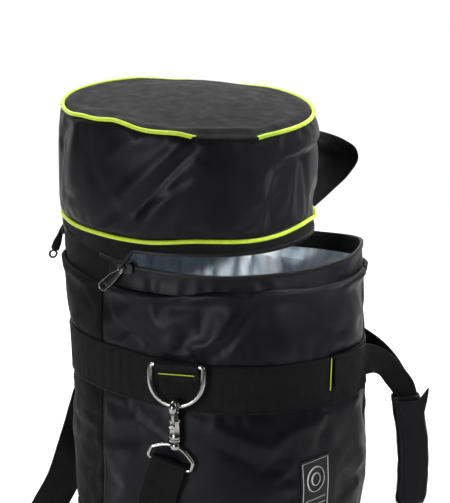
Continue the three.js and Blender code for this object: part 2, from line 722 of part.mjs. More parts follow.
// Hook with a bar-shaped body, made about the middle of its loop.
function hookGeometry() {
  const bevel = 1.1;
  const shape = new THREE.Shape();
  shape.absellipse(0, 0, LOOP_HALF - bevel, LOOP_UP - bevel, 0, 2 * Math.PI, false, 0);
  const inner = new THREE.Path();
  inner.absellipse(0, 0, LOOP_INNER + bevel, LOOP_UP - LOOP_METAL + bevel, 0, 2 * Math.PI, false, 0);
  shape.holes.push(inner);
  const loop = plate(shape, HOOK_THICK, bevel, 10).rotateY(-Math.PI / 2);
  const mouth = block(HOOK_THICK + 2, 14.5, 7).translate([0, 2.5 - 7.25, LOOP_INNER + 1.5]);
  const profile = [
    [0, -LOOP_UP - BARREL_LENGTH],
    [BARREL_RADIUS - 1, -LOOP_UP - BARREL_LENGTH],
    [BARREL_RADIUS, 1 - LOOP_UP - BARREL_LENGTH],
    [BARREL_RADIUS, -LOOP_UP - 1],
    [BARREL_RADIUS - 2, 1.5 - LOOP_UP],
    [0, 1.5 - LOOP_UP],
  ];
  const corners = profile.map((corner) => new THREE.Vector2(corner[0], corner[1]));
  const barrel = new THREE.LatheGeometry(corners, 20);
  return toGeometry(toSolid(loop).subtract(mouth).add(toSolid(barrel)));
}

function boltGeometry() {
  const low = -20;
  const rod = block(4, BOLT_TIP - low, 3.2).translate([0, (BOLT_TIP + low) / 2, 8.2]);
  const thumb = block(6, 6, 7).translate([0, low + 3, 10.1]);
  return toGeometry(rod.add(thumb));
}

// Swivelling strap eye, made about the middle of the bar that the strap turns over.
function eyeGeometry(lean) {
  const shape = new THREE.Shape();
  shape.moveTo(-6, 21);
  shape.lineTo(6, 21);
  shape.lineTo(24, 11);
  shape.lineTo(24, -2);
  shape.lineTo(-24, -2);
  shape.lineTo(-24, 11);
  shape.lineTo(-6, 21);
  const hole = new THREE.Path();
  hole.moveTo(-4, 16.5);
  hole.lineTo(-20.5, 9);
  hole.lineTo(-20.5, 2);
  hole.lineTo(20.5, 2);
  hole.lineTo(20.5, 9);
  hole.lineTo(4, 16.5);
  hole.lineTo(-4, 16.5);
  shape.holes.push(hole);
  const frame = plate(shape, 4, 0, 4);
  frame.translate(0, -21, 0);
  frame.rotateZ(lean);
  const hub = new THREE.CylinderGeometry(5.2, 5.2, 7, 20);
  return toGeometry(toSolid(frame).add(toSolid(hub)));
}

function addRingSet(label, angle, lean) {
  const frame = ringFrame(angle);
  const leanOut = (RING_HEIGHT - RING_WIRE) * Math.sin(RING_LEAN);
  const wireUp = -(RING_HEIGHT - RING_WIRE) * Math.cos(RING_LEAN);
  const hookOut = RING_OUT + leanOut + HOOK_LOOP_OUT;
  const eyeUp = wireUp - LOOP_UP - BARREL_LENGTH - GAP - 3.5;
  add(`${label}_ring_tab`, onFrame(tabGeometry(), frame, 0, RING_OUT), webbingCloth());
  add(`${label}_strap_ring`, onFrame(ringGeometry(), frame, 0, RING_OUT), brightMetal());
  add(`${label}_snap_hook`, onFrame(hookGeometry(), frame, wireUp, hookOut), brightMetal());
  add(`${label}_snap_bolt`, onFrame(boltGeometry(), frame, wireUp, hookOut), brightMetal());
  add(`${label}_snap_eye`, onFrame(eyeGeometry(lean), frame, eyeUp, hookOut), brightMetal());
  const barUp = eyeUp - 21 * Math.cos(lean);
  const barAlong = 21 * Math.sin(lean);
  return { ...frame, lean, origin: at(frame, barAlong, barUp, hookOut) };
}

const frontBar = addRingSet("front", FRONT_RING_ANGLE, FRONT_EYE_LEAN);
const rearBar = addRingSet("rear", REAR_RING_ANGLE, REAR_EYE_LEAN);

// Stations of a strap end: up behind the bar of the eye, over it and down in front.
function barTurn(frame) {
  const down = [Math.sin(frame.lean), -Math.cos(frame.lean)];
  const turn = 4.4;
  const places = [
    [-turn + 0.6, 26],
    [-turn + 0.2, 14],
    [-turn, 2],
    [-turn * 0.72, -turn * 0.72],
    [0, -turn],
    [turn * 0.72, -turn * 0.72],
    [turn, 2],
    [turn - 0.2, 14],
    [turn - 0.6, 28],
  ];
  const across = frame.along.clone().multiplyScalar(-down[1]).addScaledVector(frame.up, down[0]);
  return places.map((place) => ({
    point: at(frame, down[0] * place[1], down[1] * place[1], place[0]),
    across,
  }));
}

const STRAP_FLOOR = 1.4;

function station(x, y, z, acrossX, acrossY, acrossZ) {
  return { point: vector(x, y, z), across: vector(acrossX, acrossY, acrossZ) };
}

const strapStations = [
  ...barTurn(frontBar),
  station(-63, -142, 140, 1, -0.2, -0.1),
  station(-68, -145, 100, 1, -0.1, 0),
  station(-72, -150, 60, 1, 0, 0),
  station(-75, -158, 26, 1, 0, 0),
  station(-79, -176, 6, 1, 0.1, 0),
  station(-86, -195, STRAP_FLOOR, 0.9, 0.3, 0),
  station(-104, -215, STRAP_FLOOR, 0.6, -0.8, 0),
  station(-136, -226, STRAP_FLOOR, 0.1, -1, 0),
  station(-172, -217, STRAP_FLOOR, -0.4, -0.9, 0),
  station(-202, -190, STRAP_FLOOR, -0.75, -0.65, 0),
  station(-223, -152, STRAP_FLOOR, -0.9, -0.4, 0),
  station(-236, -108, STRAP_FLOOR, -1, -0.2, 0),
  station(-241, -64, STRAP_FLOOR, -1, 0, 0),
  station(-241, -24, STRAP_FLOOR, -1, 0, 0),
  station(-239, 6, 4, -1, 0, 0),
  station(-231, 29, 16, -1, -0.1, 0),
  station(-217, 43, 38, -0.9, -0.2, -0.3),
  station(-198, 50, 68, -0.85, -0.3, -0.5),
  station(-179, 53, 102, -0.88, -0.3, -0.4),
  station(-161, 56, 138, -0.85, -0.45, -0.3),
  ...barTurn(rearBar).map((entry) => ({ point: entry.point, across: entry.across })).reverse(),
];

const strapPath = curve(strapStations.map((entry) => entry.point));
const strapAcross = curve(strapStations.map((entry) => entry.across));
const strap = webbing(strapPath, (t) => strapAcross.getPoint(t), () => STRAP_WIDTH, STRAP_THICK, 111);
add("shoulder_strap", strap, webbingCloth());

export default bag;
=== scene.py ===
import json
import math

import bmesh
import bpy
import numpy as np
from mathutils import Matrix, Vector, noise
from mathutils.bvhtree import BVHTree


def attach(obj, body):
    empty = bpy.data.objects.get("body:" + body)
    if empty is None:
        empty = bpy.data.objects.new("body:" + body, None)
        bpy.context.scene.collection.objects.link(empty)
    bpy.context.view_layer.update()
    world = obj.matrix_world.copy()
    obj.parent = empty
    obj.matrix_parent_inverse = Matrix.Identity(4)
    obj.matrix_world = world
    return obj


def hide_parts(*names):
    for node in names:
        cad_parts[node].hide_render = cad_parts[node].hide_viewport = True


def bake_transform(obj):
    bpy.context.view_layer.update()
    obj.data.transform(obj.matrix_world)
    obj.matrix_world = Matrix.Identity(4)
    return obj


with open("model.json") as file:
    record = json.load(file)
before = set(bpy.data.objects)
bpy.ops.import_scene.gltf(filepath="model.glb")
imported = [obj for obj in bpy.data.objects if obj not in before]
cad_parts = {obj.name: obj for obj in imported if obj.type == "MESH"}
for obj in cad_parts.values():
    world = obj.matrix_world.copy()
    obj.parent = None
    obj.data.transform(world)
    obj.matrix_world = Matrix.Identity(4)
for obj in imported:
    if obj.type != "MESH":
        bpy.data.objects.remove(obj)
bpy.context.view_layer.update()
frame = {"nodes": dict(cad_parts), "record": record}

# Round padded carry bag standing on end, with a drum-shaped zip lid.
# Shapes are worked out in millimetres, as the CAD part is, and written to meshes in metres.
MM = 0.001

# Body of the bag, as in the CAD part: height, half width, half depth, end radius, centre in X.
SECTIONS = [
    (0, 140, 138, 134, 0),
    (90, 147, 136, 120, 5),
    (180, 151, 132, 110, 9),
    (310, 152, 124, 98, 5),
    (419, 155, 108, 75, 0),
]
MOUTH_HEIGHT = 419
RIM_START = 330
RIM_TILT = math.radians(10)
RIM_ROUND = 15
RIM_ROLL = 0.04
SEAM_HEIGHT = 389
FACING_BOTTOM = 398
CHAIN_WIDTH = 4.7
FRONT_SEAM = 216
RIGHT_SEAM = 354
BAND_WIDTH = 50
BAND_FALL = 0.058
BAND_BOW = 5
UPPER_BAND = 289
LOWER_BAND = 92

# Drum lid
LID_X = -26
LID_Y = 22
LID_BOTTOM = 424
LID_LOW_RADIUS = 131
LID_TOP_RADIUS = 129
LID_PIPING_LOW = 13.5
LID_PIPING_HIGH = 123

# Strap fittings
RING_WIRE = 4.8
RING_OUT = 10.2
RING_LEAN = math.radians(6)
RING_HALF = 27.6
RING_DROP = 41.2
FRONT_RING = 252
REAR_RING = 150
FRONT_LEAN = math.radians(-18)
REAR_LEAN = math.radians(25)
STRAP_WIDTH = 38
STRAP_THICK = 2.2

# Camera
VIEW_TARGET = Vector((0.012, 0, 0.4))
VIEW_DISTANCE = 2.5
VIEW_ELEVATION = math.radians(14.5)
VIEW_LENS = 171.6


def make_camera():
    data = bpy.data.cameras.new("camera")
    data.lens = VIEW_LENS
    data.sensor_width = 36
    camera = bpy.data.objects.new("camera", data)
    away = Vector((0, -math.cos(VIEW_ELEVATION), math.sin(VIEW_ELEVATION)))
    camera.location = VIEW_TARGET + away * VIEW_DISTANCE
    camera.rotation_euler = (math.pi / 2 - VIEW_ELEVATION, 0, 0)
    bpy.context.scene.collection.objects.link(camera)
    bpy.context.scene.camera = camera


make_camera()


# --- Small helpers ---
def lerp(a, b, t):
    return a + (b - a) * t


def smooth(x, low, high):
    t = min(1, max(0, (x - low) / (high - low)))
    return t * t * (3 - 2 * t)


def bump(x, middle, width):
    return math.exp(-(((x - middle) / width) ** 2))


def wave(*place):
    """Smooth noise from about -1 to 1 at up to three coordinates."""
    return noise.noise(Vector((*place, 0.37, 0.71)[:3]))


def steps(low, high, count):
    return [lerp(low, high, i / count) for i in range(count + 1)]


# --- Places on the bag ---
def section_at(height):
    index = 0
    while index < len(SECTIONS) - 2 and height > SECTIONS[index + 1][0]:
        index += 1
    low, high = SECTIONS[index], SECTIONS[index + 1]
    t = min(1, max(0, (height - low[0]) / (high[0] - low[0])))
    return [lerp(a, b, t) for a, b in zip(low[1:], high[1:])]


def oval_radius(section, angle):
    """Distance from the middle of a four-arc oval to its edge, at an angle in degrees."""
    half_width, half_depth, end, _ = section
    cos = abs(math.cos(math.radians(angle)))
    sin = abs(math.sin(math.radians(angle)))
    end_centre = half_width - end
    side = (end_centre**2 + half_depth**2 - end**2) / (2 * (half_depth - end))
    side_centre = side - half_depth
    reach = math.hypot(end_centre, side_centre)
    joint_x = end_centre + end * end_centre / reach
    joint_y = end * side_centre / reach
    if sin * joint_x < cos * joint_y:
        along = cos * end_centre
        return along + math.sqrt(along**2 - end_centre**2 + end**2)
    along = -sin * side_centre
    return along + math.sqrt(along**2 - side_centre**2 + side**2)


def body_point(angle, height, outward=0):
    section = section_at(height)
    radius = oval_radius(section, angle) + outward
    x = section[3] + radius * math.cos(math.radians(angle))
    y = radius * math.sin(math.radians(angle))
    rise = smooth(height, RIM_START, MOUTH_HEIGHT)
    fall = math.sin(RIM_TILT) * (math.hypot(y, RIM_ROUND) - RIM_ROUND)
    depth = y * (1 - rise * (1 - math.cos(RIM_TILT)))
    return Vector((x, depth, height - rise * (fall + RIM_ROLL * x)))


def band_drop(angle):
    across = math.cos(math.radians(angle))
    return BAND_FALL * 150 * across - BAND_BOW * across**2


def band_point(angle, height, outward=0):
    return body_point(angle, height - band_drop(angle), outward)


def around(angle, table):
    """Smooth value at an angle from (angle, value) pairs that run once round."""
    turned = angle % 360
    pairs = table + [(table[0][0] + 360, table[0][1])]
    if turned < pairs[0][0]:
        turned += 360
    for (low, a), (high, b) in zip(pairs, pairs[1:]):
        if turned <= high:
            return lerp(a, b, smooth(turned, low, high))
    return pairs[-1][1]


# Rise of the lid's two seams above the CAD part's level, round the lid
TOP_SEAM_RISE = [
    (0, 0), (42, 0), (72, -3), (95, -1), (118, 3.5), (160, 5),
    (198, 6), (238, 12), (262, 7), (282, 3), (305, 0),
]
LOW_SEAM_RISE = [(0, 3), (40, 0), (250, 0), (275, 4), (300, 2.5), (338, 6.5)]


def lid_at(angle, height, radius):
    x = radius * math.cos(math.radians(angle))
    y = radius * math.sin(math.radians(angle))
    share = height / LID_PIPING_HIGH
    lean_x = lerp(0.034, 0.015, share)
    lean_y = lerp(0.02, 0.05, share)
    low = around(angle, LOW_SEAM_RISE) * min(1, max(0, height / LID_PIPING_LOW))
    high = around(angle, TOP_SEAM_RISE) - around(angle, LOW_SEAM_RISE)
    rise = low + high * smooth(height, LID_PIPING_LOW, LID_PIPING_HIGH + 20) * 1.12
    rise = lerp(4, rise, min(1, radius / LID_TOP_RADIUS) ** 3)
    return Vector((LID_X + x, LID_Y + y, LID_BOTTOM + height + rise - lean_x * x + lean_y * y))


def lid_point(angle, height, outward=0):
    radius = lerp(LID_LOW_RADIUS, LID_TOP_RADIUS, height / LID_PIPING_HIGH)
    return lid_at(angle, height, radius + outward)


# --- Mesh building ---
def new_object(name, verts, faces, uvs=None):
    """Mesh object from points in millimetres. uvs has one pair for each point, in metres."""
    mesh = bpy.data.meshes.new(name)
    mesh.from_pydata([tuple(Vector(v) * MM) for v in verts], [], faces)
    if uvs is not None:
        layer = mesh.uv_layers.new(name="UVMap")
        corner = np.zeros(len(mesh.loops), np.int32)
        mesh.loops.foreach_get("vertex_index", corner)
        layer.data.foreach_set("uv", np.array(uvs, np.float32)[corner].ravel())
    mesh.validate()
    mesh.polygons.foreach_set("use_smooth", [True] * len(mesh.polygons))
    obj = bpy.data.objects.new(name, mesh)
    bpy.context.scene.collection.objects.link(obj)
    return obj


def grid(name, point, columns, rows, wrap=False):
    """Sheet with a corner point(u, v) for each u in columns and v in rows."""
    places = [[point(u, v) for v in rows] for u in columns]
    count = len(rows)
    verts = [p for column in places for p in column]
    middle = count // 2
    across = [0.0]
    for before, after in zip(places, places[1:]):
        across.append(across[-1] + (after[middle] - before[middle]).length * MM)
    up = [0.0]
    for before, after in zip(places[0], places[0][1:]):
        up.append(up[-1] + (after - before).length * MM)
    uvs = [(u, v) for u in across for v in up]
    faces = []
    last = len(places) if wrap else len(places) - 1
    for i in range(last):
        a, b = i * count, (i + 1) % len(places) * count
        for j in range(count - 1):
            faces.append((a + j, b + j, b + j + 1, a + j + 1))
    return new_object(name, verts, faces, uvs)


def settle(obj):
    """Applies every modifier of an object to its mesh."""
    graph = bpy.context.evaluated_depsgraph_get()
    mesh = bpy.data.meshes.new_from_object(obj.evaluated_get(graph))
    obj.modifiers.clear()
    obj.data = mesh
    return obj


def thicken(obj, thick, levels=0):
    """Gives a sheet its thickness, inward from its face, and rounds it by subdivision."""
    shell = obj.modifiers.new("thickness", "SOLIDIFY")
    shell.thickness = thick * MM
    shell.offset = -1
    if levels:
        round_it = obj.modifiers.new("rounding", "SUBSURF")
        round_it.levels = levels
        round_it.render_levels = levels
    settle(obj)
    obj.data.set_sharp_from_angle(angle=math.radians(50))
    return obj


def frames_along(points, closed, up=Vector((0, 0, 1))):
    """Two directions across a path at each of its points, carried along without twist."""
    result = []
    count = len(points)
    side = None
    for i, point in enumerate(points):
        before = points[(i - 1) % count] if closed or i > 0 else point
        after = points[(i + 1) % count] if closed or i < count - 1 else point
        along = (after - before).normalized()
        if side is None:
            side = along.cross(up)
            if side.length < 0.1:
                side = along.cross(Vector((1, 0, 0)))
        side = (side - along * side.dot(along)).normalized()
        result.append((side, along.cross(side).normalized()))
    return result


def tube(name, points, radius, closed=False, sides=10, squeeze=1.0):
    """Round bar or cord along points. radius is a number or a function of the share of the way."""
    points = [Vector(p) for p in points]
    directions = frames_along(points, closed)
    if closed:  # the turn that is left over is spread along the ring
        side, other = directions[0]
        last = directions[-1][0]
        left_over = math.atan2(last.dot(other), last.dot(side))
    verts = []
    uvs = []
    length = 0.0
    for i, point in enumerate(points):
        share = i / (len(points) - 1)
        size = radius(share) if callable(radius) else radius
        length += (point - points[i - 1]).length * MM if i else 0
        turn = -left_over * share if closed else 0
        for k in range(sides):
            angle = 2 * math.pi * k / sides + turn
            side, other = directions[i]
            verts.append(point + side * size * math.cos(angle) + other * size * squeeze * math.sin(angle))
            uvs.append((length, 2 * math.pi * size * MM * k / sides))
    faces = []
    rings = len(points) if closed else len(points) - 1
    for i in range(rings):
        a, b = i * sides, (i + 1) % len(points) * sides
        for k in range(sides):
            n = (k + 1) % sides
            faces.append((a + k, a + n, b + n, b + k))
    if not closed:
        faces.append(tuple(range(sides))[::-1])
        faces.append(tuple((len(points) - 1) * sides + k for k in range(sides)))
    return new_object(name, verts, faces, uvs)


def lathe(name, profile, place, turns=28):
    """Turned piece. profile is [radius, height], and place(x, y, z) puts a point made about +Z."""
    verts = []
    uvs = []
    for radius, height in profile:
        for k in range(turns):
            angle = 2 * math.pi * k / turns
            verts.append(place(radius * math.cos(angle), radius * math.sin(angle), height))
            uvs.append((radius * angle * MM, height * MM))
    faces = []
    for i in range(len(profile) - 1):
        for k in range(turns):
            n = (k + 1) % turns
            faces.append((i * turns + k, i * turns + n, (i + 1) * turns + n, (i + 1) * turns + k))
    faces.append(tuple(range(turns))[::-1])
    faces.append(tuple((len(profile) - 1) * turns + k for k in range(turns)))
    obj = new_object(name, verts, faces, uvs)
    obj.data.set_sharp_from_angle(angle=math.radians(40))
    return obj


def join(name, objects):
    """One object from several, for pieces that are one part."""
    bpy.ops.object.select_all(action="DESELECT")
    for obj in objects:
        obj.select_set(True)
    bpy.context.view_layer.objects.active = objects[0]
    bpy.ops.object.join()
    objects[0].name = name
    return objects[0]


def catmull(points, share_count):
    """Points on a centripetal Catmull-Rom curve through the given points, as the CAD part draws it."""
    points = [Vector(p) for p in points]
    first = points[0] * 2 - points[1]
    last = points[-1] * 2 - points[-2]
    result = []
    spans = len(points) - 1
    for k in range(share_count + 1):
        place = spans * k / share_count
        i = min(int(place), spans - 1)
        t = place - i
        p0 = points[i - 1] if i > 0 else first
        p1, p2 = points[i], points[i + 1]
        p3 = points[i + 2] if i + 2 <= spans else last
        d0 = max(math.sqrt((p1 - p0).length), 1e-4)
        d1 = max(math.sqrt((p2 - p1).length), 1e-4)
        d2 = max(math.sqrt((p3 - p2).length), 1e-4)
        m1 = ((p1 - p0) / d0 - (p2 - p0) / (d0 + d1) + (p2 - p1) / d1) * d1
        m2 = ((p2 - p1) / d1 - (p3 - p1) / (d1 + d2) + (p3 - p2) / d2) * d1
        a = 2 * p1 - 2 * p2 + m1 + m2
        b = -3 * p1 + 3 * p2 - 2 * m1 - m2
        result.append(a * t**3 + b * t**2 + m1 * t + p1)
    return result


def even(points, spacing):
    """The same path with its points at an even distance."""
    lengths = [0.0]
    for a, b in zip(points, points[1:]):
        lengths.append(lengths[-1] + (b - a).length)
    count = max(2, round(lengths[-1] / spacing))
    result = []
    index = 0
    for k in range(count + 1):
        want = lengths[-1] * k / count
        while index < len(points) - 2 and lengths[index + 1] < want:
            index += 1
        gap = max(lengths[index + 1] - lengths[index], 1e-9)
        result.append(points[index].lerp(points[index + 1], (want - lengths[index]) / gap))
    return result


RIB_PITCH = 2.2
RIB_RELIEF = 0.34


def ribbed_strap(name, points, across_at, width, thick):
    """Webbing with cross ribs and rounded edges along evenly spaced points."""
    outline = []
    deep = thick / 2
    for place in (-1, -0.985, -0.94, -0.5, 0, 0.5, 0.94, 0.985, 1):
        lift = deep * (0.35 if abs(place) == 1 else 0.8 if abs(place) == 0.985 else 1)
        outline.append((place, lift))
    outline += [(x, -y) for x, y in reversed(outline)]
    verts = []
    uvs = []
    length = 0.0
    for i, point in enumerate(points):
        before = points[max(i - 1, 0)]
        after = points[min(i + 1, len(points) - 1)]
        along = (after - before).normalized()
        length += (point - points[i - 1]).length if i else 0
        share = i / (len(points) - 1)
        out = along.cross(across_at(share, point, along)).normalized()
        across = out.cross(along)
        rib = RIB_RELIEF * (1 if i % 2 else -1)
        half = (width(point) if callable(width) else width) / 2
        for x, y in outline:
            relief = rib * (1 if y > 0 else -1) * (abs(x) < 0.96)
            verts.append(point + across * x * half + out * (y + relief))
            uvs.append((length * MM, (x + 1) * half * MM))
    sides = len(outline)
    faces = []
    for i in range(len(points) - 1):
        a, b = i * sides, (i + 1) * sides
        for k in range(sides):
            n = (k + 1) % sides
            faces.append((a + k, a + n, b + n, b + k))
    faces.append(tuple(range(sides))[::-1])
    faces.append(tuple((len(points) - 1) * sides + k for k in range(sides)))
    return new_object(name, verts, faces, uvs)


def stitches(name, path, pitch=3.4, length=2.5, radius=0.42, lift=0.15):
    """Row of short stitches. path is a list of (point, outward direction) along the seam."""
    verts = []
    faces = []
    points = [p for p, _ in path]
    total = [0.0]
    for a, b in zip(points, points[1:]):
        total.append(total[-1] + (b - a).length)
    count = int(total[-1] / pitch)
    index = 0
    for k in range(count):
        want = (k + 0.5) * pitch
        while index < len(points) - 2 and total[index + 1] < want:
            index += 1
        t = (want - total[index]) / max(total[index + 1] - total[index], 1e-9)
        centre = points[index].lerp(points[index + 1], t)
        out = path[index][1]
        along = (points[index + 1] - points[index]).normalized()
        side = along.cross(out).normalized()
        base = len(verts)
        for share, size in ((-1, 0.35), (-0.6, 0.9), (0, 1.0), (0.6, 0.9), (1, 0.35)):
            middle = centre + along * length / 2 * share + out * (lift - 0.3 * share**2 * radius)
            for s in range(6):
                angle = math.pi * s / 3
                spoke = side * math.cos(angle) + out * math.sin(angle)
                verts.append(middle + spoke * radius * size)
        for ring in range(4):
            for s in range(6):
                n = (s + 1) % 6
                a, b = base + ring * 6, base + (ring + 1) * 6
                faces.append((a + s, a + n, b + n, b + s))
        faces.append(tuple(base + s for s in range(6))[::-1])
        faces.append(tuple(base + 24 + s for s in range(6)))
    return new_object(name, verts, faces, [(0.0, 0.0)] * len(verts))


# --- Materials ---
def node_material(name, build, coordinates):
    material = bpy.data.materials.new(name)
    material.use_nodes = True
    tree = material.node_tree
    shader = tree.nodes["Principled BSDF"]
    source = tree.nodes.new("ShaderNodeTexCoord")
    build(Nodes(tree, shader, source.outputs[coordinates]))
    return material


class Nodes:
    """Short ways to add and link shader nodes in one material."""

    def __init__(self, tree, shader, place):
        self.tree = tree
        self.shader = shader
        self.place = place

    def add(self, kind, **values):
        node = self.tree.nodes.new(kind)
        for key, value in values.items():
            setattr(node, key, value)
        return node

    def link(self, output, target):
        self.tree.links.new(output, target)

    def noise(self, scale, detail=3, rough=0.55, stretch=None):
        node = self.add("ShaderNodeTexNoise")
        node.inputs["Scale"].default_value = scale
        node.inputs["Detail"].default_value = detail
        node.inputs["Roughness"].default_value = rough
        self.link(self.stretched(stretch) if stretch else self.place, node.inputs["Vector"])
        return node.outputs["Fac"]

    def stretched(self, scale):
        mapping = self.add("ShaderNodeMapping")
        mapping.inputs["Scale"].default_value = scale
        self.link(self.place, mapping.inputs["Vector"])
        return mapping.outputs["Vector"]

    def threads(self, pitch, direction):
        """Parallel threads, as a smooth wave with the given distance between them in metres."""
        node = self.add("ShaderNodeTexWave", bands_direction=direction)
        node.inputs["Scale"].default_value = 0.314 / pitch
        node.inputs["Distortion"].default_value = 0.35
        node.inputs["Detail"].default_value = 1
        self.link(self.place, node.inputs["Vector"])
        return node.outputs["Fac"]

    def math(self, operation, a, b):
        node = self.add("ShaderNodeMath", operation=operation)
        for value, socket in zip((a, b), node.inputs):
            if isinstance(value, (int, float)):
                socket.default_value = value
            else:
                self.link(value, socket)
        return node.outputs[0]

    def ramp(self, value, low, high, start=0.3, end=0.7):
        node = self.add("ShaderNodeMapRange")
        node.inputs["From Min"].default_value = start
        node.inputs["From Max"].default_value = end
        node.inputs["To Min"].default_value = low
        node.inputs["To Max"].default_value = high
        self.link(value, node.inputs["Value"])
        return node.outputs["Result"]

    def colours(self, value, low, high, start=0.3, end=0.7):
        node = self.add("ShaderNodeValToRGB")
        node.color_ramp.elements[0].color = (*low, 1)
        node.color_ramp.elements[1].color = (*high, 1)
        node.color_ramp.elements[0].position = start
        node.color_ramp.elements[1].position = end
        self.link(value, node.inputs["Fac"])
        self.link(node.outputs["Color"], self.shader.inputs["Base Color"])

    def bumps(self, height, distance, strength=1.0):
        node = self.add("ShaderNodeBump")
        node.inputs["Distance"].default_value = distance
        node.inputs["Strength"].default_value = strength
        self.link(height, node.inputs["Height"])
        self.link(node.outputs["Normal"], self.shader.inputs["Normal"])

    def set(self, **values):
        for key, value in values.items():
            self.shader.inputs[key.replace("_", " ")].default_value = value

    def rough(self, value):
        self.link(value, self.shader.inputs["Roughness"])


def gloss_nylon(n):
    weave = n.math("MULTIPLY", n.threads(0.0007, "X"), n.threads(0.0007, "Y"))
    cloudy = n.noise(16, 4)
    n.colours(cloudy, (0.002, 0.0019, 0.0042), (0.0045, 0.0044, 0.008))
    n.rough(n.ramp(n.noise(40, 3), 0.42, 0.54))
    n.bumps(n.math("ADD", n.math("MULTIPLY", weave, 0.35), n.noise(420, 2)), 0.00014, 0.6)
    n.set(Specular_IOR_Level=0.24)


def matte_nylon(n):
    weave = n.math("MULTIPLY", n.threads(0.0009, "X"), n.threads(0.0009, "Y"))
    n.colours(n.noise(24, 4), (0.0022, 0.0022, 0.0025), (0.0052, 0.0052, 0.0058))
    n.rough(n.ramp(n.noise(60, 2), 0.62, 0.8))
    n.bumps(n.math("ADD", weave, n.noise(600, 2)), 0.00022, 0.7)
    n.set(Sheen_Weight=0.01, Sheen_Roughness=0.6, Specular_IOR_Level=0.15)


def webbing(n):
    fine = n.math("ADD", n.threads(0.0011, "Y"), n.threads(0.0022, "X"))
    n.colours(n.noise(300, 3, stretch=(0.4, 1, 1)), (0.0016, 0.0016, 0.0018), (0.0065, 0.0065, 0.007))
    n.rough(n.ramp(n.noise(80, 2), 0.45, 0.65))
    n.bumps(n.math("ADD", fine, n.noise(900, 2)), 0.0003, 0.8)
    n.set(Sheen_Weight=0.01, Sheen_Roughness=0.5, Specular_IOR_Level=0.22)


def lime_piping(n):
    twist = n.threads(0.0012, "X")
    n.colours(n.noise(140, 3), (0.52, 0.74, 0.015), (0.72, 0.92, 0.06))
    n.rough(n.ramp(n.noise(60, 2), 0.42, 0.6))
    n.bumps(n.math("ADD", n.math("MULTIPLY", twist, 0.4), n.noise(700, 2)), 0.0002, 0.5)
    n.set(Sheen_Weight=0.2, Sheen_Roughness=0.4)


def padding(n):
    n.colours(n.noise(260, 4), (0.035, 0.035, 0.04), (0.07, 0.07, 0.078))
    n.rough(n.ramp(n.noise(90, 2), 0.8, 0.95))
    n.bumps(n.noise(900, 3), 0.0005, 0.8)


def base_board(n):
    n.colours(n.noise(30, 4), (0.03, 0.03, 0.032), (0.055, 0.055, 0.058))
    n.rough(n.ramp(n.noise(50, 2), 0.5, 0.65))
    n.bumps(n.noise(500, 3), 0.0002, 0.5)


def silver_lining(n):
    # Base colour: pale blue-grey foil. The brighter streaks along the crinkles are painted highlights of
    # light on the crumpled foil.
    n.colours(n.noise(16, 5, 0.6, stretch=(2.6, 0.35, 1)), (0.4, 0.5, 0.6), (0.92, 0.97, 1), 0.4, 0.6)
    n.rough(n.ramp(n.noise(45, 3), 0.3, 0.48))
    crinkle = n.math("ADD", n.noise(110, 5, 0.7), n.math("MULTIPLY", n.threads(0.0008, "X"), 0.06))
    n.bumps(crinkle, 0.0008, 0.6)
    n.set(Metallic=0.35)


def zip_tape(n):
    knit = n.math("ADD", n.threads(0.0008, "X"), n.threads(0.0011, "Y"))
    n.colours(n.noise(90, 3), (0.003, 0.003, 0.0034), (0.0075, 0.0075, 0.008))
    n.rough(n.ramp(n.noise(90, 2), 0.65, 0.85))
    n.bumps(knit, 0.00022, 0.8)
    n.set(Sheen_Weight=0.01, Sheen_Roughness=0.5, Specular_IOR_Level=0.2)


def zip_chain(n):
    n.colours(n.noise(200, 2), (0.006, 0.006, 0.007), (0.016, 0.016, 0.018))
    n.rough(n.ramp(n.noise(300, 2), 0.28, 0.45))
    n.bumps(n.noise(800, 2), 0.0001, 0.4)


def zip_metal(n):
    n.colours(n.noise(120, 3), (0.012, 0.012, 0.013), (0.03, 0.03, 0.032))
    n.rough(n.ramp(n.noise(200, 4), 0.24, 0.42))
    n.bumps(n.noise(900, 2), 0.00006, 0.5)
    n.set(Metallic=0.6, Coat_Weight=0.3, Coat_Roughness=0.15)


def nickel(n):
    n.colours(n.noise(60, 4), (0.4, 0.385, 0.36), (0.6, 0.585, 0.56))
    n.rough(n.ramp(n.noise(160, 5, 0.7), 0.12, 0.26))
    n.bumps(n.noise(500, 4), 0.00005, 0.5)
    n.set(Metallic=1.0)


def label(n):
    n.colours(n.noise(120, 3), (0.006, 0.006, 0.0066), (0.012, 0.012, 0.013))
    n.rough(n.ramp(n.noise(60, 2), 0.45, 0.6))
    n.bumps(n.math("MULTIPLY", n.threads(0.0006, "X"), n.threads(0.0006, "Y")), 0.0001, 0.6)


def white_print(n):
    n.colours(n.noise(200, 3), (0.62, 0.62, 0.62), (0.8, 0.8, 0.8))
    n.rough(n.ramp(n.noise(90, 2), 0.5, 0.65))
    n.bumps(n.math("MULTIPLY", n.threads(0.0006, "X"), n.threads(0.0006, "Y")), 0.0001, 0.6)


def pale_floor(n):
    n.colours(n.noise(3, 2), (0.8, 0.8, 0.8), (0.82, 0.82, 0.82))
    n.set(Roughness=0.7)


BUILDERS = {
    "gloss_nylon": gloss_nylon,
    "matte_nylon": matte_nylon,
    "webbing": webbing,
    "lime_piping": lime_piping,
    "padding": padding,
    "base_board": base_board,
    "silver_lining": silver_lining,
    "zip_tape": zip_tape,
    "zip_chain": zip_chain,
    "zip_metal": zip_metal,
    "nickel": nickel,
    "label": label,
    "white_print": white_print,
}
made = {}


def finish_of(name, coordinates="UV"):
    key = f"{name}_{coordinates.lower()}"
    if key not in made:
        made[key] = node_material(key, BUILDERS[name], coordinates)
    return made[key]


def dress(obj, material, body, replaced=()):
    """Gives a piece its material and the body that it rides on, and hides the CAD nodes that it replaces.
    """
    obj.data.materials.clear()
    obj.data.materials.append(finish_of(material))
    if body:
        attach(obj, body)
    if replaced:
        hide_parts(*replaced)
    return obj


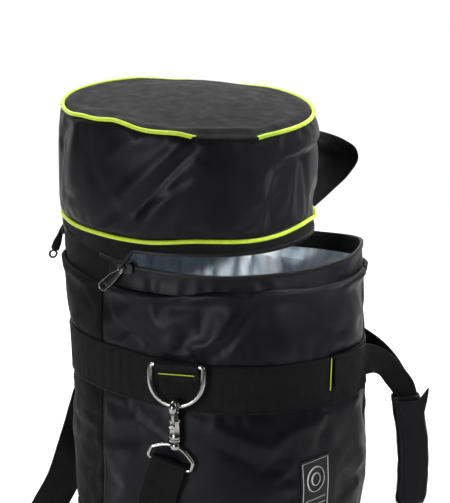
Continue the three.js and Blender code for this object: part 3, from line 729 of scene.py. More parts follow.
def dress_frame():
    """Procedural finish for every CAD node, by its material slot in the record."""
    for part in frame["record"]["subparts"]:
        node = frame["nodes"][part["node"]]
        node.data.materials.clear()
        node.data.materials.append(finish_of(part["material_slot"], "Object"))


dress_frame()


# --- Cloth ---
def billow(obj, pinned, grow, pressure, cap, last_frame=16):
    """Lets a sheet of cloth that is a little too big for its seams buckle between them."""
    group = obj.vertex_groups.new(name="seams")
    group.add(pinned, 1.0, "REPLACE")
    cloth = obj.modifiers.new("cloth", "CLOTH")
    settings = cloth.settings
    settings.quality = 5
    settings.mass = 0.3
    settings.tension_stiffness = 30
    settings.compression_stiffness = 30
    settings.shear_stiffness = 15
    settings.bending_stiffness = 0.4
    settings.vertex_group_mass = "seams"
    settings.shrink_min = -grow
    settings.use_pressure = True
    settings.uniform_pressure_force = pressure
    settings.effector_weights.gravity = 0
    cloth.collision_settings.use_collision = False
    cloth.point_cache.frame_start = 1
    cloth.point_cache.frame_end = last_frame
    for number in range(1, last_frame + 1):
        bpy.context.scene.frame_set(number)
    count = len(obj.data.vertices)
    start = np.zeros(count * 3, np.float32)
    obj.data.vertices.foreach_get("co", start)
    moved = np.zeros(count * 3, np.float32)
    result = obj.evaluated_get(bpy.context.evaluated_depsgraph_get())
    result.data.vertices.foreach_get("co", moved)
    start, moved = start.reshape(-1, 3), moved.reshape(-1, 3)
    step = moved - start
    far = np.maximum(np.linalg.norm(step, axis=1, keepdims=True), 1e-9)
    step *= np.minimum(1, cap * MM * np.tanh(far / (cap * MM)) / far)
    obj.modifiers.clear()
    obj.vertex_groups.clear()
    obj.data.vertices.foreach_set("co", (start + step).ravel())
    bpy.context.scene.frame_set(1)


class Crease:
    """Soft ridge, or valley when height is below 0, between two places on a wall."""

    def __init__(self, start, end, width, height, scale):
        self.start = Vector((start[0] * scale, start[1]))
        self.end = Vector((end[0] * scale, end[1]))
        self.width = width
        self.height = height
        self.scale = scale

    def at(self, angle, height):
        here = Vector((angle * self.scale, height))
        run = self.end - self.start
        t = (here - self.start).dot(run) / run.length_squared
        inside = min(1, max(0, t))
        away = (here - self.start - run * inside).length
        if away > 3 * self.width:
            return 0
        taper = 1 if 0.15 < t < 0.85 else 0.75
        return self.height * taper * math.exp(-((away / self.width) ** 2))


DEGREE_MM = 2.36  # one degree round the wall, in millimetres

BODY_CREASES = [
    Crease((289, 368), (266, 318), 7, -2.6, DEGREE_MM),
    Crease((283, 374), (260, 326), 11, 2.8, DEGREE_MM),
    Crease((258, 331), (266, 333), 4, 2.2, DEGREE_MM),
    Crease((265, 332), (276, 343), 4, 2.2, DEGREE_MM),
    Crease((258, 326), (275, 334), 5, -1.8, DEGREE_MM),
    Crease((221, 358), (231, 343), 4, 2.4, DEGREE_MM),
    Crease((224, 350), (236, 334), 5, -1.6, DEGREE_MM),
    Crease((236, 376), (246, 340), 12, 2.4, DEGREE_MM),
    Crease((304, 372), (300, 325), 13, 1.8, DEGREE_MM),
    Crease((334, 378), (326, 330), 10, 1.8, DEGREE_MM),
    Crease((232, 250), (250, 226), 9, 2.2, DEGREE_MM),
    Crease((268, 246), (292, 226), 9, 2.4, DEGREE_MM),
    Crease((262, 236), (284, 214), 6, -1.8, DEGREE_MM),
    Crease((300, 236), (322, 252), 8, 1.8, DEGREE_MM),
    Crease((240, 190), (262, 160), 12, 2, DEGREE_MM),
    Crease((330, 190), (316, 240), 9, 1.8, DEGREE_MM),
    Crease((280, 44), (300, 30), 9, 1.8, DEGREE_MM),
    Crease((50, 372), (70, 330), 10, 2.4, DEGREE_MM),
    Crease((90, 330), (112, 372), 10, 2.2, DEGREE_MM),
    Crease((140, 374), (128, 326), 9, 2, DEGREE_MM),
    Crease((60, 236), (84, 160), 12, 2.4, DEGREE_MM),
    Crease((110, 150), (128, 236), 11, 2.2, DEGREE_MM),
    Crease((170, 170), (186, 240), 10, 2, DEGREE_MM),
    Crease((192, 330), (206, 372), 9, 2, DEGREE_MM),
]

LID_CREASES = [
    Crease((268, 113), (241, 54), 8, 4.2, DEGREE_MM),
    Crease((273, 108), (248, 44), 4.5, -3.4, DEGREE_MM),
    Crease((262, 64), (250, 27), 9, 3.6, DEGREE_MM),
    Crease((270, 78), (257, 58), 4, -2.8, DEGREE_MM),
    Crease((250, 112), (236, 92), 7, 2.2, DEGREE_MM),
    Crease((238, 44), (228, 24), 6, -1.6, DEGREE_MM),
    Crease((290, 100), (281, 36), 16, 1.6, DEGREE_MM),
    Crease((212, 108), (206, 34), 12, 1.8, DEGREE_MM),
    Crease((190, 100), (198, 40), 9, 1.6, DEGREE_MM),
    Crease((160, 106), (150, 30), 10, 2, DEGREE_MM),
    Crease((324, 88), (321, 34), 7, 2.2, DEGREE_MM),
    Crease((331, 90), (336, 30), 6, -1.6, DEGREE_MM),
    Crease((60, 100), (84, 34), 10, 2.2, DEGREE_MM),
    Crease((104, 32), (118, 104), 9, 2, DEGREE_MM),
]


def gathers(place, away, pitch, depth, reach, seed):
    """Small tucks across a seam. place runs along the seam and away is the distance from it."""
    return depth * wave(place / pitch, seed, away / 40) * math.exp(-abs(away) / reach)


def scallop_at(along):
    """Rounded gathers, from 0 in a tuck to 1 on a crest, along the top seam of the body."""
    return abs(math.sin(along / 27 + 0.9 * wave(along / 60, 7))) ** 0.7


def body_relief(angle, height):
    """How far the outer cloth of the body stands out from its smooth shape."""
    fall = band_drop(angle)
    along = angle * DEGREE_MM
    half = BAND_WIDTH / 2
    edges = [5, LOWER_BAND - fall - half, LOWER_BAND - fall + half]
    edges += [UPPER_BAND - fall - half, UPPER_BAND - fall + half, SEAM_HEIGHT]
    for low, high in ((edges[1], edges[2]), (edges[3], edges[4])):
        if low - 1 <= height <= high + 1:
            return 0
    low = max(e for e in edges if e <= height) if height > 5 else 5
    high = min(e for e in edges if e >= height)
    t = (height - low) / max(high - low, 1e-6)
    puff = 2.2 * math.sqrt(max(0, 4 * t * (1 - t)))
    relief = puff + sum(c.at(angle, height) for c in BODY_CREASES)
    relief += 0.9 * wave(along / 46, height / 60, 3) + 0.45 * wave(along / 17, height / 24, 9)
    for edge in edges:
        relief += gathers(along, height - edge, 9, 0.9, 7, edge)
    tucks = 0.5 * wave(along / 9, 2.5) + 0.35 * wave(along / 5, 1.5)
    relief += (4.6 * scallop_at(along) + 1.6 * tucks) * bump(height, SEAM_HEIGHT - 5, 4.5)
    pull = wave(along / 16 + height / 60, height / 90, 13)
    relief += 2.6 * pull * abs(pull) * bump(height, SEAM_HEIGHT - 20, 16)
    label_flat = bump(angle, 315, 13) * bump(height, 168, 60)
    relief *= 1 - 0.75 * label_flat
    relief *= smooth(min(height - low, high - height), -0.1, 5)
    return relief + 2.2 * smooth(height, SEAM_HEIGHT - 16, SEAM_HEIGHT - 4)


def seam_dip(angle, seam, width=1.1):
    return -1.6 * bump(angle, seam, width)


# Rise of the gathered top edge of the outer cloth above its seam, round the bag
RUFFLE_RISE = [(0, 7), (60, 8), (180, 7), (222, 4), (246, 6), (272, 14), (300, 15), (322, 10), (342, 7)]


def ruffle_height(angle, height):
    scallop = scallop_at((angle % 360) * DEGREE_MM)
    rise = around(angle, RUFFLE_RISE) * smooth(height, 335, SEAM_HEIGHT)
    return height + rise + (2.4 * scallop - 1.6) * smooth(height, SEAM_HEIGHT - 14, SEAM_HEIGHT)


def body_cloth(angle, height):
    relief = body_relief(angle % 360, height)
    for seam in (FRONT_SEAM + seam_shift(height), RIGHT_SEAM):
        relief += seam_dip(angle % 360, seam) * (1 if relief else 0)
    return body_point(angle, ruffle_height(angle, height), relief)


WALL_FOOT = 6


def panel_rows():
    return steps(WALL_FOOT, SEAM_HEIGHT - 0.2, 76)


def pinned_rows(rows, columns, is_seam):
    count = len(rows)
    pins = []
    for i, u in enumerate(columns):
        edge = i in (0, len(columns) - 1)
        pins += [i * count + j for j, v in enumerate(rows) if edge or is_seam(u, v)]
    return pins


def body_seam(column, height):
    angle = shifted(column, height)
    fall = band_drop(angle)
    near = [abs(height - middle + fall) < BAND_WIDTH / 2 + 2 for middle in (UPPER_BAND, LOWER_BAND)]
    on_label = 304 < angle % 360 < 326 and 120 < height < 215
    return any(near) or on_label or height < 9 or height > SEAM_HEIGHT - 4


def seam_shift(height):
    """The left seam of the front wanders from the straight line of the CAD part's panels."""
    return -4.6 + 1.4 * smooth(height, 200, 389)


def shifted(angle, height):
    near = around(angle, [(150, 0), (FRONT_SEAM, 1), (300, 0)])
    return angle + near * seam_shift(height)


def body_panel(name, start, end, material, replaced):
    columns = steps(start + 0.1, end - 0.1, round((end - start) / 1.9))
    rows = panel_rows()
    panel = grid(name, lambda a, h: body_cloth(shifted(a, h), h), columns, rows)
    billow(panel, pinned_rows(rows, columns, body_seam), 0.03, 0.5, 3.2)
    thicken(panel, 1.5, 1)
    dress(panel, material, "bag", [replaced])
    return panel


front_panel = body_panel("body_front_cloth", FRONT_SEAM, RIGHT_SEAM, "gloss_nylon", "outer_front_panel")
body_panel("body_rear_cloth", RIGHT_SEAM, FRONT_SEAM + 360, "matte_nylon", "outer_rear_panel")


def surface_of(obj):
    graph = bpy.context.evaluated_depsgraph_get()
    return BVHTree.FromObject(obj, graph)


front_surface = surface_of(front_panel)


def on_front(angle, height, lift, point=body_point):
    """Place on the finished front cloth, lift above it."""
    outer = point(angle, height, 40)
    inner = point(angle, height, -20)
    toward = (inner - outer).normalized()
    hit = front_surface.ray_cast(outer * MM, toward)
    surface = hit[0] / MM if hit[0] else point(angle, height, 0)
    return surface - toward * lift


# --- Lid cloth ---
def lid_seam_angle(height):
    return lerp(305, 315, smooth(height, 12, 120))


def lid_relief(angle, height):
    turned = angle % 360
    along = angle * DEGREE_MM
    t = (height - LID_PIPING_LOW) / (LID_PIPING_HIGH - LID_PIPING_LOW)
    puff = 2.4 * math.sqrt(max(0, 4 * t * (1 - t)))
    relief = puff + sum(c.at(turned, height) for c in LID_CREASES)
    relief += 0.8 * wave(along / 50, height / 50, 1) + 0.4 * wave(along / 18, height / 26, 6)
    relief += gathers(along, height - LID_PIPING_LOW, 7, 1.8, 8, 2)
    relief += gathers(along, height - LID_PIPING_HIGH, 10, 1.2, 8, 4)
    inside = min(height - LID_PIPING_LOW, LID_PIPING_HIGH - height)
    return relief * smooth(inside, 1, 7)


def lid_cloth(angle, height):
    return lid_point(angle, height, lid_relief(angle, height))


LID_ROWS = steps(LID_PIPING_LOW + 2, LID_PIPING_HIGH - 2, 30)


def lid_edge(angle, height):
    return height < LID_PIPING_LOW + 4 or height > LID_PIPING_HIGH - 4


def lid_piece(name, point, start, end, replaced):
    columns = steps(0, 1, round((end - start) / 1.7))

    def place(share, height):
        return point(share, height)

    panel = grid(name, place, columns, LID_ROWS)
    billow(panel, pinned_rows(LID_ROWS, columns, lid_edge), 0.035, 0.5, 3.4)
    thicken(panel, 1.5, 1)
    dress(panel, "gloss_nylon", "lid", [replaced])
    return panel


def lid_front(share, height):
    seam = lid_seam_angle(height)
    angle = lerp(132, seam, share)
    lift = 1.6 * smooth(angle, seam - 5, seam - 1) - 1.2 * smooth(angle, seam - 0.8, seam)
    return lid_point(angle, height, lid_relief(angle, height) + lift)


HEM_HEIGHT = 94


def lid_side(share, height):
    seam = lid_seam_angle(height)
    angle = lerp(seam - 1.2, 401.8, share)
    hem = 2.4 * smooth(height, HEM_HEIGHT - 1, HEM_HEIGHT + 2) * (1 - smooth(height, 104, 118))
    tuck = -1.6 * bump(height, HEM_HEIGHT - 3, 3.5)
    fade = smooth(angle, seam, seam + 4)
    return lid_point(angle, height, lid_relief(angle, height) * fade + (hem + tuck) * fade - 0.6)


def lid_rear(share, height):
    return lid_cloth(lerp(402.2, 491.8, share), height)


lid_piece("lid_front_cloth", lid_front, 132, 312, "lid_front_panel")
lid_piece("lid_side_cloth", lid_side, 312, 402, "lid_side_panel")
lid_piece("lid_rear_cloth", lid_rear, 402, 492, "lid_rear_panel")


def overhang(angle):
    """Share from 0 to 1 by which the padded top rolls over its piping."""
    turned = angle % 360
    return smooth(turned, 266, 275) * (1 - smooth(turned, 301, 309))


TOP_LIFT = 8


def lid_top_point(angle, share):
    turned = math.radians(angle)
    edge = LID_TOP_RADIUS - 2.4
    rolled = overhang(angle)
    radius = edge * min(share, 1)
    lift = TOP_LIFT * (1 - min(share, 1) ** 2)
    lift += 0.9 * wave(math.cos(turned) * share * 3, math.sin(turned) * share * 3, 5)
    lift += 4.2 * bump(share, 0.93, 0.055) * (0.35 + 0.65 * rolled)
    lift -= 3.2 * bump(angle % 360, 222, 9) * bump(share, 0.86, 0.12)
    lift += 1.8 * bump(angle % 360, 210, 7) * bump(share, 0.88, 0.12)
    lift += 1.2 * bump(angle % 360, 75, 10) * bump(share, 0.5, 0.4)
    if share > 1:
        over = share - 1
        radius = edge + rolled * 7.5 * math.sin(min(over * 60, math.pi * 0.75))
        lift = 0.6 - rolled * 6.5 * (1 - math.cos(min(over * 42, math.pi * 0.6)))
    lift += gathers(angle * DEGREE_MM, (1 - min(share, 1)) * edge, 9, 1.1, 9, 8) * (share < 1)
    return lid_at(angle, LID_PIPING_HIGH + 0.6 + lift, radius)


def lid_top():
    shares = [0.012, 0.06] + steps(0.12, 0.86, 16) + steps(0.88, 1, 7) + [1.012, 1.026, 1.04]
    angles = [3 * k for k in range(120)]
    rows = shares[::-1]
    top = grid("lid_top_cloth", lid_top_point, angles, rows, wrap=True)
    mesh = top.data
    centre = [k * len(rows) + len(rows) - 1 for k in range(len(angles))]
    faces = [tuple(p.vertices) for p in mesh.polygons] + [tuple(centre[::-1])]
    verts = [v.co / MM for v in mesh.vertices]
    bpy.data.objects.remove(top)
    flat = [(v.x * MM, v.y * MM) for v in verts]
    top = new_object("lid_top_cloth", verts, faces, flat)
    flip_outward(top)
    outer = [j for j, share in enumerate(rows) if share > 0.95]
    pins = [k * len(rows) + j for k in range(len(angles)) for j in outer]
    billow(top, pins, 0.012, 0.6, 4)
    thicken(top, 1.5, 1)
    dress(top, "matte_nylon", "lid", ["lid_top_panel"])


def flip_outward(obj):
    """Turns every face up, for a sheet that lies flat."""
    mesh = obj.data
    mesh.update()
    up = sum(p.normal.z * p.area for p in mesh.polygons)
    if up < 0:
        mesh.flip_normals()


lid_top()


# --- Piping ---
def piping(name, point, height, radius, body, replaced, count=240):
    angles = [360 * k / count for k in range(count)]
    points = [
        point(a, height + 0.7 * wave(a / 21, height), 0.9 + 0.4 * wave(a / 17, 8)) for a in angles
    ]
    cord = tube(name, points, radius, closed=True, sides=12)
    return dress(cord, "lime_piping", body, [replaced])


def top_piping_point(angle, height, outward):
    """The front left of the cord waves where the cloth of the top pulls it."""
    turned = angle % 360
    sway = 1.8 * bump(turned, 236, 7) - 1.5 * bump(turned, 250, 8) + 1.2 * bump(turned, 215, 8)
    return lid_point(angle, height + sway - 1.5 * overhang(angle), outward - 0.8 * overhang(angle))


piping("base_cord", body_point, 4.8, 2.3, "bag", "base_piping")
piping("lid_lower_cord", lid_point, LID_PIPING_LOW, 2.2, "lid", "lid_bottom_piping")
piping("lid_upper_cord", top_piping_point, LID_PIPING_HIGH, 2.2, "lid", "lid_top_piping")


# --- Webbing bands ---
def band(name, middle, replaced):
    """Closed ring of webbing with ribs across it."""
    perimeter = sum(
        (band_point(a + 1, middle) - band_point(a, middle)).length for a in range(360)
    )
    count = 2 * round(perimeter / RIB_PITCH)
    half = BAND_WIDTH / 2
    profile = [(-half, 1.2), (-half + 0.3, 2.3), (-half + 1.5, 2.7), (-half / 2, 2.8), (0, 2.8)]
    profile += [(-h, out) for h, out in profile[-2::-1]]
    profile += [(half, 0.9), (0, 0.9), (-half, 0.9)]
    columns = [360 * k / count for k in range(count)]

    def place(angle, index):
        height, out = profile[index % len(profile)]
        rib = RIB_RELIEF * (1 if round(angle * count / 360) % 2 else -1)
        worn = 0.25 * wave(angle / 9, height / 20, middle)
        shown = 1 if 2.6 < out else 0
        edge = 0.5 * wave(angle / 12, middle) * (1 if abs(height) > half - 2 else 0)
        return band_point(angle, middle + height + edge, out + (rib + worn) * shown)

    obj = grid(name, place, columns, list(range(len(profile) + 1)), wrap=True)
    mend(obj)
    return dress(obj, "webbing", "bag", [replaced])


def mend(obj, distance=0.005):
    """Joins points that lie on each other, where a section closes on itself."""
    weld = obj.modifiers.new("weld", "WELD")
    weld.merge_threshold = distance * MM
    settle(obj)


band("upper_webbing_band", UPPER_BAND, "upper_band")
band("lower_webbing_band", LOWER_BAND, "lower_band")


# --- Zip tapes, teeth and facing ---
def strip(name, point, start, end, profile, step, wrap=False):
    """Band of cloth round a wall. profile is a closed list of (outward, height)."""
    columns = steps(start, end, round((end - start) / step))
    if wrap:
        columns = columns[:-1]

    def place(angle, index):
        outward, height = profile[index % len(profile)]
        return point(angle, height, outward)

    obj = grid(name, place, columns, list(range(len(profile) + 1)), wrap=wrap)
    mend(obj)
    if not wrap:
        cap_ends(obj)
    obj.data.set_sharp_from_angle(angle=math.radians(50))
    return obj


def cap_ends(obj):
    """Closes the two open ends of a tube-like sheet."""
    work = bmesh.new()
    work.from_mesh(obj.data)
    open_edges = [e for e in work.edges if e.is_boundary]
    bmesh.ops.holes_fill(work, edges=open_edges, sides=0)
    work.to_mesh(obj.data)
    work.free()


def rows_between(outer, inner, heights):
    return [(outer, h) for h in heights] + [(inner, h) for h in reversed(heights)]


def puckered(point, low, high, depth, pitch):
    def place(angle, height, outward):
        t = (height - low) / (high - low)
        swell = math.sin(math.pi * min(1, max(0, t)))
        tuck = depth * wave(angle * DEGREE_MM / pitch, height / 30) * swell
        return point(angle, height, outward + tuck)
    return place


CHAIN_LOW = MOUTH_HEIGHT - CHAIN_WIDTH
tape_heights = steps(SEAM_HEIGHT - 2.5, CHAIN_LOW + 1.2, 9)
tape_point = puckered(body_point, SEAM_HEIGHT - 2, CHAIN_LOW, 2.2, 11)
lower_tape = strip(
    "lower_zip_cloth", tape_point, 216, 546, rows_between(0, -1.2, tape_heights), 1.5
)
dress(lower_tape, "gloss_nylon", "bag", ["lower_zip_tape"])
upper_heights = steps(3.6, LID_PIPING_LOW - 1.5, 5)


def closed_point(angle, height, outward):
    """Edge of the lid that hangs down to the rim, where the zip is still closed."""
    point = lid_point(angle, height, outward)
    turned = angle % 360
    shut = smooth(turned, 186, 200) * (1 - smooth(turned, 240, 246))
    if shut == 0:
        return point
    edge = lid_point(angle, 0, 0)
    rim_angle = math.degrees(math.atan2(edge.y, edge.x))
    rim = body_point(rim_angle, MOUTH_HEIGHT, 0)
    hang = 1 - smooth(height, 2, 12)
    point.z -= (edge.z - rim.z - 0.5) * shut * hang
    return point


upper_point = puckered(closed_point, 2, LID_PIPING_LOW, 0.5, 12)
upper_tape = strip(
    "upper_zip_cloth", upper_point, 0, 360, rows_between(0, -1.2, upper_heights), 1.5, True
)
dress(upper_tape, "zip_tape", "lid", ["upper_zip_tape"])
facing_heights = steps(FACING_BOTTOM - 2, CHAIN_LOW - 0.4, 6)
facing_point = puckered(body_point, FACING_BOTTOM - 4, CHAIN_LOW, 0.8, 12)
facing = strip(
    "mouth_facing_cloth", facing_point, 0, 360, rows_between(-1.8, -2.8, facing_heights), 1.5, True
)
dress(facing, "matte_nylon", "bag", ["mouth_facing"])

HINGE_START = 186.3
HINGE_END = 215.7
hinge_profile = rows_between(0, -1.2, steps(SEAM_HEIGHT - 2, CHAIN_LOW, 5))
hinge_profile[6:6] = [
    (-1.0, MOUTH_HEIGHT + 3), (-1.0, MOUTH_HEIGHT + 6),
    (-2.2, MOUTH_HEIGHT + 6), (-2.2, MOUTH_HEIGHT + 3),
]


def hinge_point(angle, height, outward):
    """The flap stands higher above the rim where the rim falls away from the lid."""
    above = max(0, height - MOUTH_HEIGHT)
    reach = lerp(0.75, 2.1, smooth(angle, HINGE_START, HINGE_END))
    return body_point(angle, min(height, MOUTH_HEIGHT), outward) + Vector((0, 0, above * reach))


hinge = strip("lid_hinge_cloth", hinge_point, HINGE_START, HINGE_END, hinge_profile, 1.0)
dress(hinge, "zip_tape", None, ["hinge_flap"])
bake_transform(hinge)

TOOTH_PITCH = 2.1
TOOTH = (0.62, 2.5, 1.9)  # half length along the zip, half width up, half thickness


def zip_teeth(name, point, low, start, end, body, replaced):
    """Moulded teeth along the edge of a zip tape, joined by the tape's beaded edge."""
    middle = low + CHAIN_WIDTH / 2
    path = [point(a, middle, -0.7) for a in steps(start, end, 720)]
    places = even(path, TOOTH_PITCH)
    verts = []
    faces = []
    for i, centre in enumerate(places):
        before = places[max(i - 1, 0)]
        after = places[min(i + 1, len(places) - 1)]
        along = (after - before).normalized()
        out = along.cross(Vector((0, 0, 1))).normalized()
        up = out.cross(along)
        base = len(verts)
        for sx in (-1, 1):
            for grow, rise in ((0.55, -1), (1, -0.72), (1, 0.72), (0.55, 1)):
                for sy in (-1, 1):
                    offset = along * TOOTH[0] * sx * (0.8 + 0.2 * grow)
                    offset += up * TOOTH[1] * 0.92 * rise + out * TOOTH[2] * grow * sy
                    verts.append(centre + offset)
        rim = [0, 2, 4, 6, 7, 5, 3, 1]
        faces.append(tuple(base + k for k in rim))
        faces.append(tuple(base + 8 + k for k in rim[::-1]))
        for k in range(8):
            a, b = rim[k], rim[(k + 1) % 8]
            faces.append((base + b, base + a, base + 8 + a, base + 8 + b))
    teeth = new_object(name + "_teeth", verts, faces, [(0.0, 0.0)] * len(verts))
    teeth.data.set_sharp_from_angle(angle=math.radians(30))
    bead = tube(name + "_bead", even(path, 4), 1.25, sides=8)
    return dress(join(name, [teeth, bead]), "zip_chain", body, [replaced])


zip_teeth("lower_zip_teeth", body_point, CHAIN_LOW, 222, 534, "bag", "lower_zip_chain")
zip_teeth("upper_zip_teeth", closed_point, 0, 228, 558, "lid", "upper_zip_chain")


# --- Lining ---
def lining_point(angle, height):
    """Loose crinkled lining, fuller behind the front and back of the mouth."""
    along = angle * DEGREE_MM
    neck = smooth(height, 380, 392)
    outward = lerp(-9.4, -3.2, neck)
    fold = abs(wave(along / 24 + height / 90, height / 90, 2)) * 9
    crinkle = 2.4 * wave(along / 10, height / 26, 4) + 0.9 * wave(along / 5, height / 10, 7)
    free = smooth(height, 8, 40) * (1 - 0.75 * neck)
    return body_point(angle, height, outward - (fold + crinkle + 1) * free)


lining_rows = steps(4.5, FACING_BOTTOM - 1, 78)
lining_columns = [1.6 * k for k in range(225)]
lining = grid("wall_lining_cloth", lining_point, lining_columns, lining_rows, wrap=True)
lining.data.flip_normals()
thicken(lining, 0.6)
lining.data.polygons.foreach_set("use_smooth", [True] * len(lining.data.polygons))
dress(lining, "silver_lining", "bag", ["wall_lining"])


# --- Haul loop ---
LOOP_ANGLE = math.radians(38)
LOOP_WIDTH = 76
loop_out = Vector((math.cos(LOOP_ANGLE), math.sin(LOOP_ANGLE), 0))
loop_across = Vector((-loop_out.y, loop_out.x, 0))
LOOP_STATIONS = [(0, 88), (22, 82), (46, 72), (63, 60), (66, 48), (52, 34), (27, 19), (0, 5)]


def haul_loop():
    path = []
    for outward, height in LOOP_STATIONS:
        path.append(lid_point(math.degrees(LOOP_ANGLE), height, 7) + loop_out * outward)
    points = even(catmull(path, 120), 2.2)
    last = len(points) - 1

    def place(index, side):
        point = points[index]
        before, after = points[max(index - 1, 0)], points[min(index + 1, last)]
        face = (after - before).normalized().cross(loop_across)
        t = index / last
        curl = 1.6 * side**2 * math.sin(math.pi * t)
        soft = 0.7 * wave(index / 9, side * 2, 3) * math.sin(math.pi * t)
        narrow = 1 - 0.05 * math.sin(math.pi * t)
        return point + loop_across * side * LOOP_WIDTH / 2 * narrow + face * (curl * 0.5 + soft)

    loop = grid("haul_loop_cloth", place, list(range(last + 1)), steps(-1, 1, 18))
    thicken(loop, 1.8, 1)
    dress(loop, "matte_nylon", "lid", ["haul_loop"])


haul_loop()


# --- Carry handle ---
HANDLE_WEBBING = 25
HANDLE_END_WIDTH = 34
HANDLE_THICK = 2.4
STRAP_OUT = 0.9 + 2 + 2 + HANDLE_THICK / 2
WALL_LEAN = 1.6
HANDLE_SHIFT = 8
GRIP_MIDDLE = 184
GRIP_X = 212.5
GRIP_BOW_HEIGHT = 165
GRIP_LENGTH = 120
STACK = HANDLE_THICK / 2 + 0.5


def grip_x_at(z):
    return GRIP_X - 0.0016 * (z - GRIP_BOW_HEIGHT) ** 2


def handle_strap(name, sign, replaced):
    turns = [35, 28, 20, 13]
    upper = [band_point(sign * a, UPPER_BAND + HANDLE_SHIFT, STRAP_OUT) for a in turns]
    lower = [band_point(sign * a, LOWER_BAND - HANDLE_SHIFT, STRAP_OUT + WALL_LEAN) for a in turns]
    above = [Vector((x, sign * y, z)) for x, y, z in ((170, 21, 288), (183, 9, 277), (192, 2.6, 264))]
    levels = (252, 238, 215, GRIP_MIDDLE, 150, 128, 115)
    inside = [Vector((grip_x_at(z), sign * STACK, z)) for z in levels]
    below = [Vector((x, sign * y, z)) for x, y, z in ((200, 4, 101), (187, 12, 92), (172, 22, 86))]
    path = catmull(upper + above + inside + below + lower[::-1], 260)

    def across(share, centre, along):
        flat = smooth(centre.x, 150, 185)
        outward = Vector((centre.x, centre.y, 0)).normalized()
        return (outward * (1 - flat) + Vector((0, sign * flat, 0))).cross(along)

    def width(centre):
        return lerp(HANDLE_END_WIDTH, HANDLE_WEBBING, smooth(centre.x, 150, 185))

    strap = ribbed_strap(name, even(path, RIB_PITCH / 2), across, width, HANDLE_THICK - 0.4)
    dress(strap, "webbing", "bag", [replaced])


handle_strap("handle_front_webbing", -1, "handle_front_strap")
handle_strap("handle_rear_webbing", 1, "handle_rear_strap")


def grip_wrap():
    """Padded wrap, quilted by its stitch lines, open where the straps pass through."""
    def place(angle, row):
        inner = row > 1
        height = GRIP_LENGTH * (2 - row if inner else row)
        height = min(max(height, 0), GRIP_LENGTH)
        turned = math.radians(angle)
        power = 0.55
        cos, sin = math.cos(turned), math.sin(turned)
        half_x, half_y = (13.6, 5.2) if inner else (16.6, 8.2)
        x = half_x * math.copysign(abs(cos) ** power, cos)
        y = half_y * math.copysign(abs(sin) ** power, sin)
        if not inner:
            end = min(height, GRIP_LENGTH - height)
            puff = 1 - 0.12 * math.exp(-end / 5) + 0.07 * wave(angle / 50, height / 16, 3)
            x *= puff
            y *= puff + 0.12 * wave(angle / 30, height / 11, 8)
        edge = 1.6 * wave(angle / 50, row) * (1 if row in (0, 1) else 0)
        z = GRIP_MIDDLE + height - GRIP_LENGTH / 2 + edge
        return Vector((x + grip_x_at(z), y, z))

    rows = steps(0, 1, 40) + [1.0001] + steps(1.02, 2, 12)
    wrap = grid("grip_wrap_cloth", place, [6 * k for k in range(60)], rows, wrap=True)
    bridge_rims(wrap, len(rows))
    return dress(wrap, "gloss_nylon", "bag", ["grip_wrap"])


def bridge_rims(obj, rows):
    """Closes a double-walled ring by joining its last row to its first."""
    mesh = obj.data
    verts = [v.co / MM for v in mesh.vertices]
    uv_of = np.zeros((len(verts), 2), np.float32)
    layer = mesh.uv_layers[0].data
    for loop in mesh.loops:
        uv_of[loop.vertex_index] = layer[loop.index].uv
    faces = [tuple(p.vertices) for p in mesh.polygons]
    columns = len(verts) // rows
    for i in range(columns):
        n = (i + 1) % columns
        faces.append((i * rows + rows - 1, n * rows + rows - 1, n * rows, i * rows))
    fresh = new_object(obj.name + "_closed", verts, faces, uv_of)
    obj.data = fresh.data
    bpy.data.objects.remove(fresh)


grip = grip_wrap()


def grip_flap():
    """Closing flap of the wrap, with one corner that stands up."""
    flap_y = -17 / 2 - 0.4 - 0.8

    def place(share, height):
        corner = smooth(share, 0.8, 1) * smooth(height, 92, 112)
        z = GRIP_MIDDLE + height - 56
        x = grip_x_at(z) + 3 + (share - 0.5) * 26
        sway = 1.2 * wave(share * 2, height / 17) + 0.6 * wave(share * 3, height / 8)
        flutter = smooth(share, 0.6, 1) * (0.6 + 0.4 * math.sin(height / 17))
        shift = 7.5 * corner - 1.5 * smooth(share, 0.5, 1) * (1 - corner)
        return Vector((x + shift, flap_y - 0.8 + sway * 0.5 - 1.4 * flutter, z + 17 * corner**1.5))

    flap = grid("grip_flap_cloth", place, steps(0, 1, 14), steps(0, 112, 44))
    thicken(flap, 1.3, 1)
    dress(flap, "gloss_nylon", "grip_flap_body", ["grip_flap"])


grip_flap()


# --- Rings, snap hooks and eyes ---
def direction_frame(angle):
    """Origin and axes of a strap ring: along its bar, up, and out from the wall."""
    height = UPPER_BAND + BAND_WIDTH / 2 - 2
    origin = band_point(angle, height)
    along = band_point(angle + 1, height) - band_point(angle - 1, height)
    along.z = 0
    along.normalize()
    up = Vector((0, 0, 1))
    return origin, along, up, along.cross(up)


class Place:
    """Puts points made about a fitting's own origin into the bag's frame."""

    def __init__(self, angle, up=0.0, out=0.0):
        origin, self.along, self.up, self.out = direction_frame(angle)
        self.origin = origin + self.up * up + self.out * out

    def __call__(self, along, up, out):
        return self.origin + self.along * along + self.up * up + self.out * out


def tilted(place, lean):
    """The same place, leaning outward at the bottom about the fitting's bar."""
    def put(along, up, out):
        cos, sin = math.cos(lean), math.sin(lean)
        return place(along, up * cos + out * sin, out * cos - up * sin)
    return put


def turned(place, lean):
    """The same place, leaning sideways by an angle."""
    def put(along, up, out):
        cos, sin = math.cos(lean), math.sin(lean)
        return place(along * cos - up * sin, along * sin + up * cos, out)
    return put


def arc(middle_x, middle_y, radius, start, end, count):
    """Points of a round stretch in a plane, angles in degrees."""
    turns = [math.radians(a) for a in steps(start, end, count)]
    return [(middle_x + radius * math.cos(t), middle_y + radius * math.sin(t)) for t in turns]


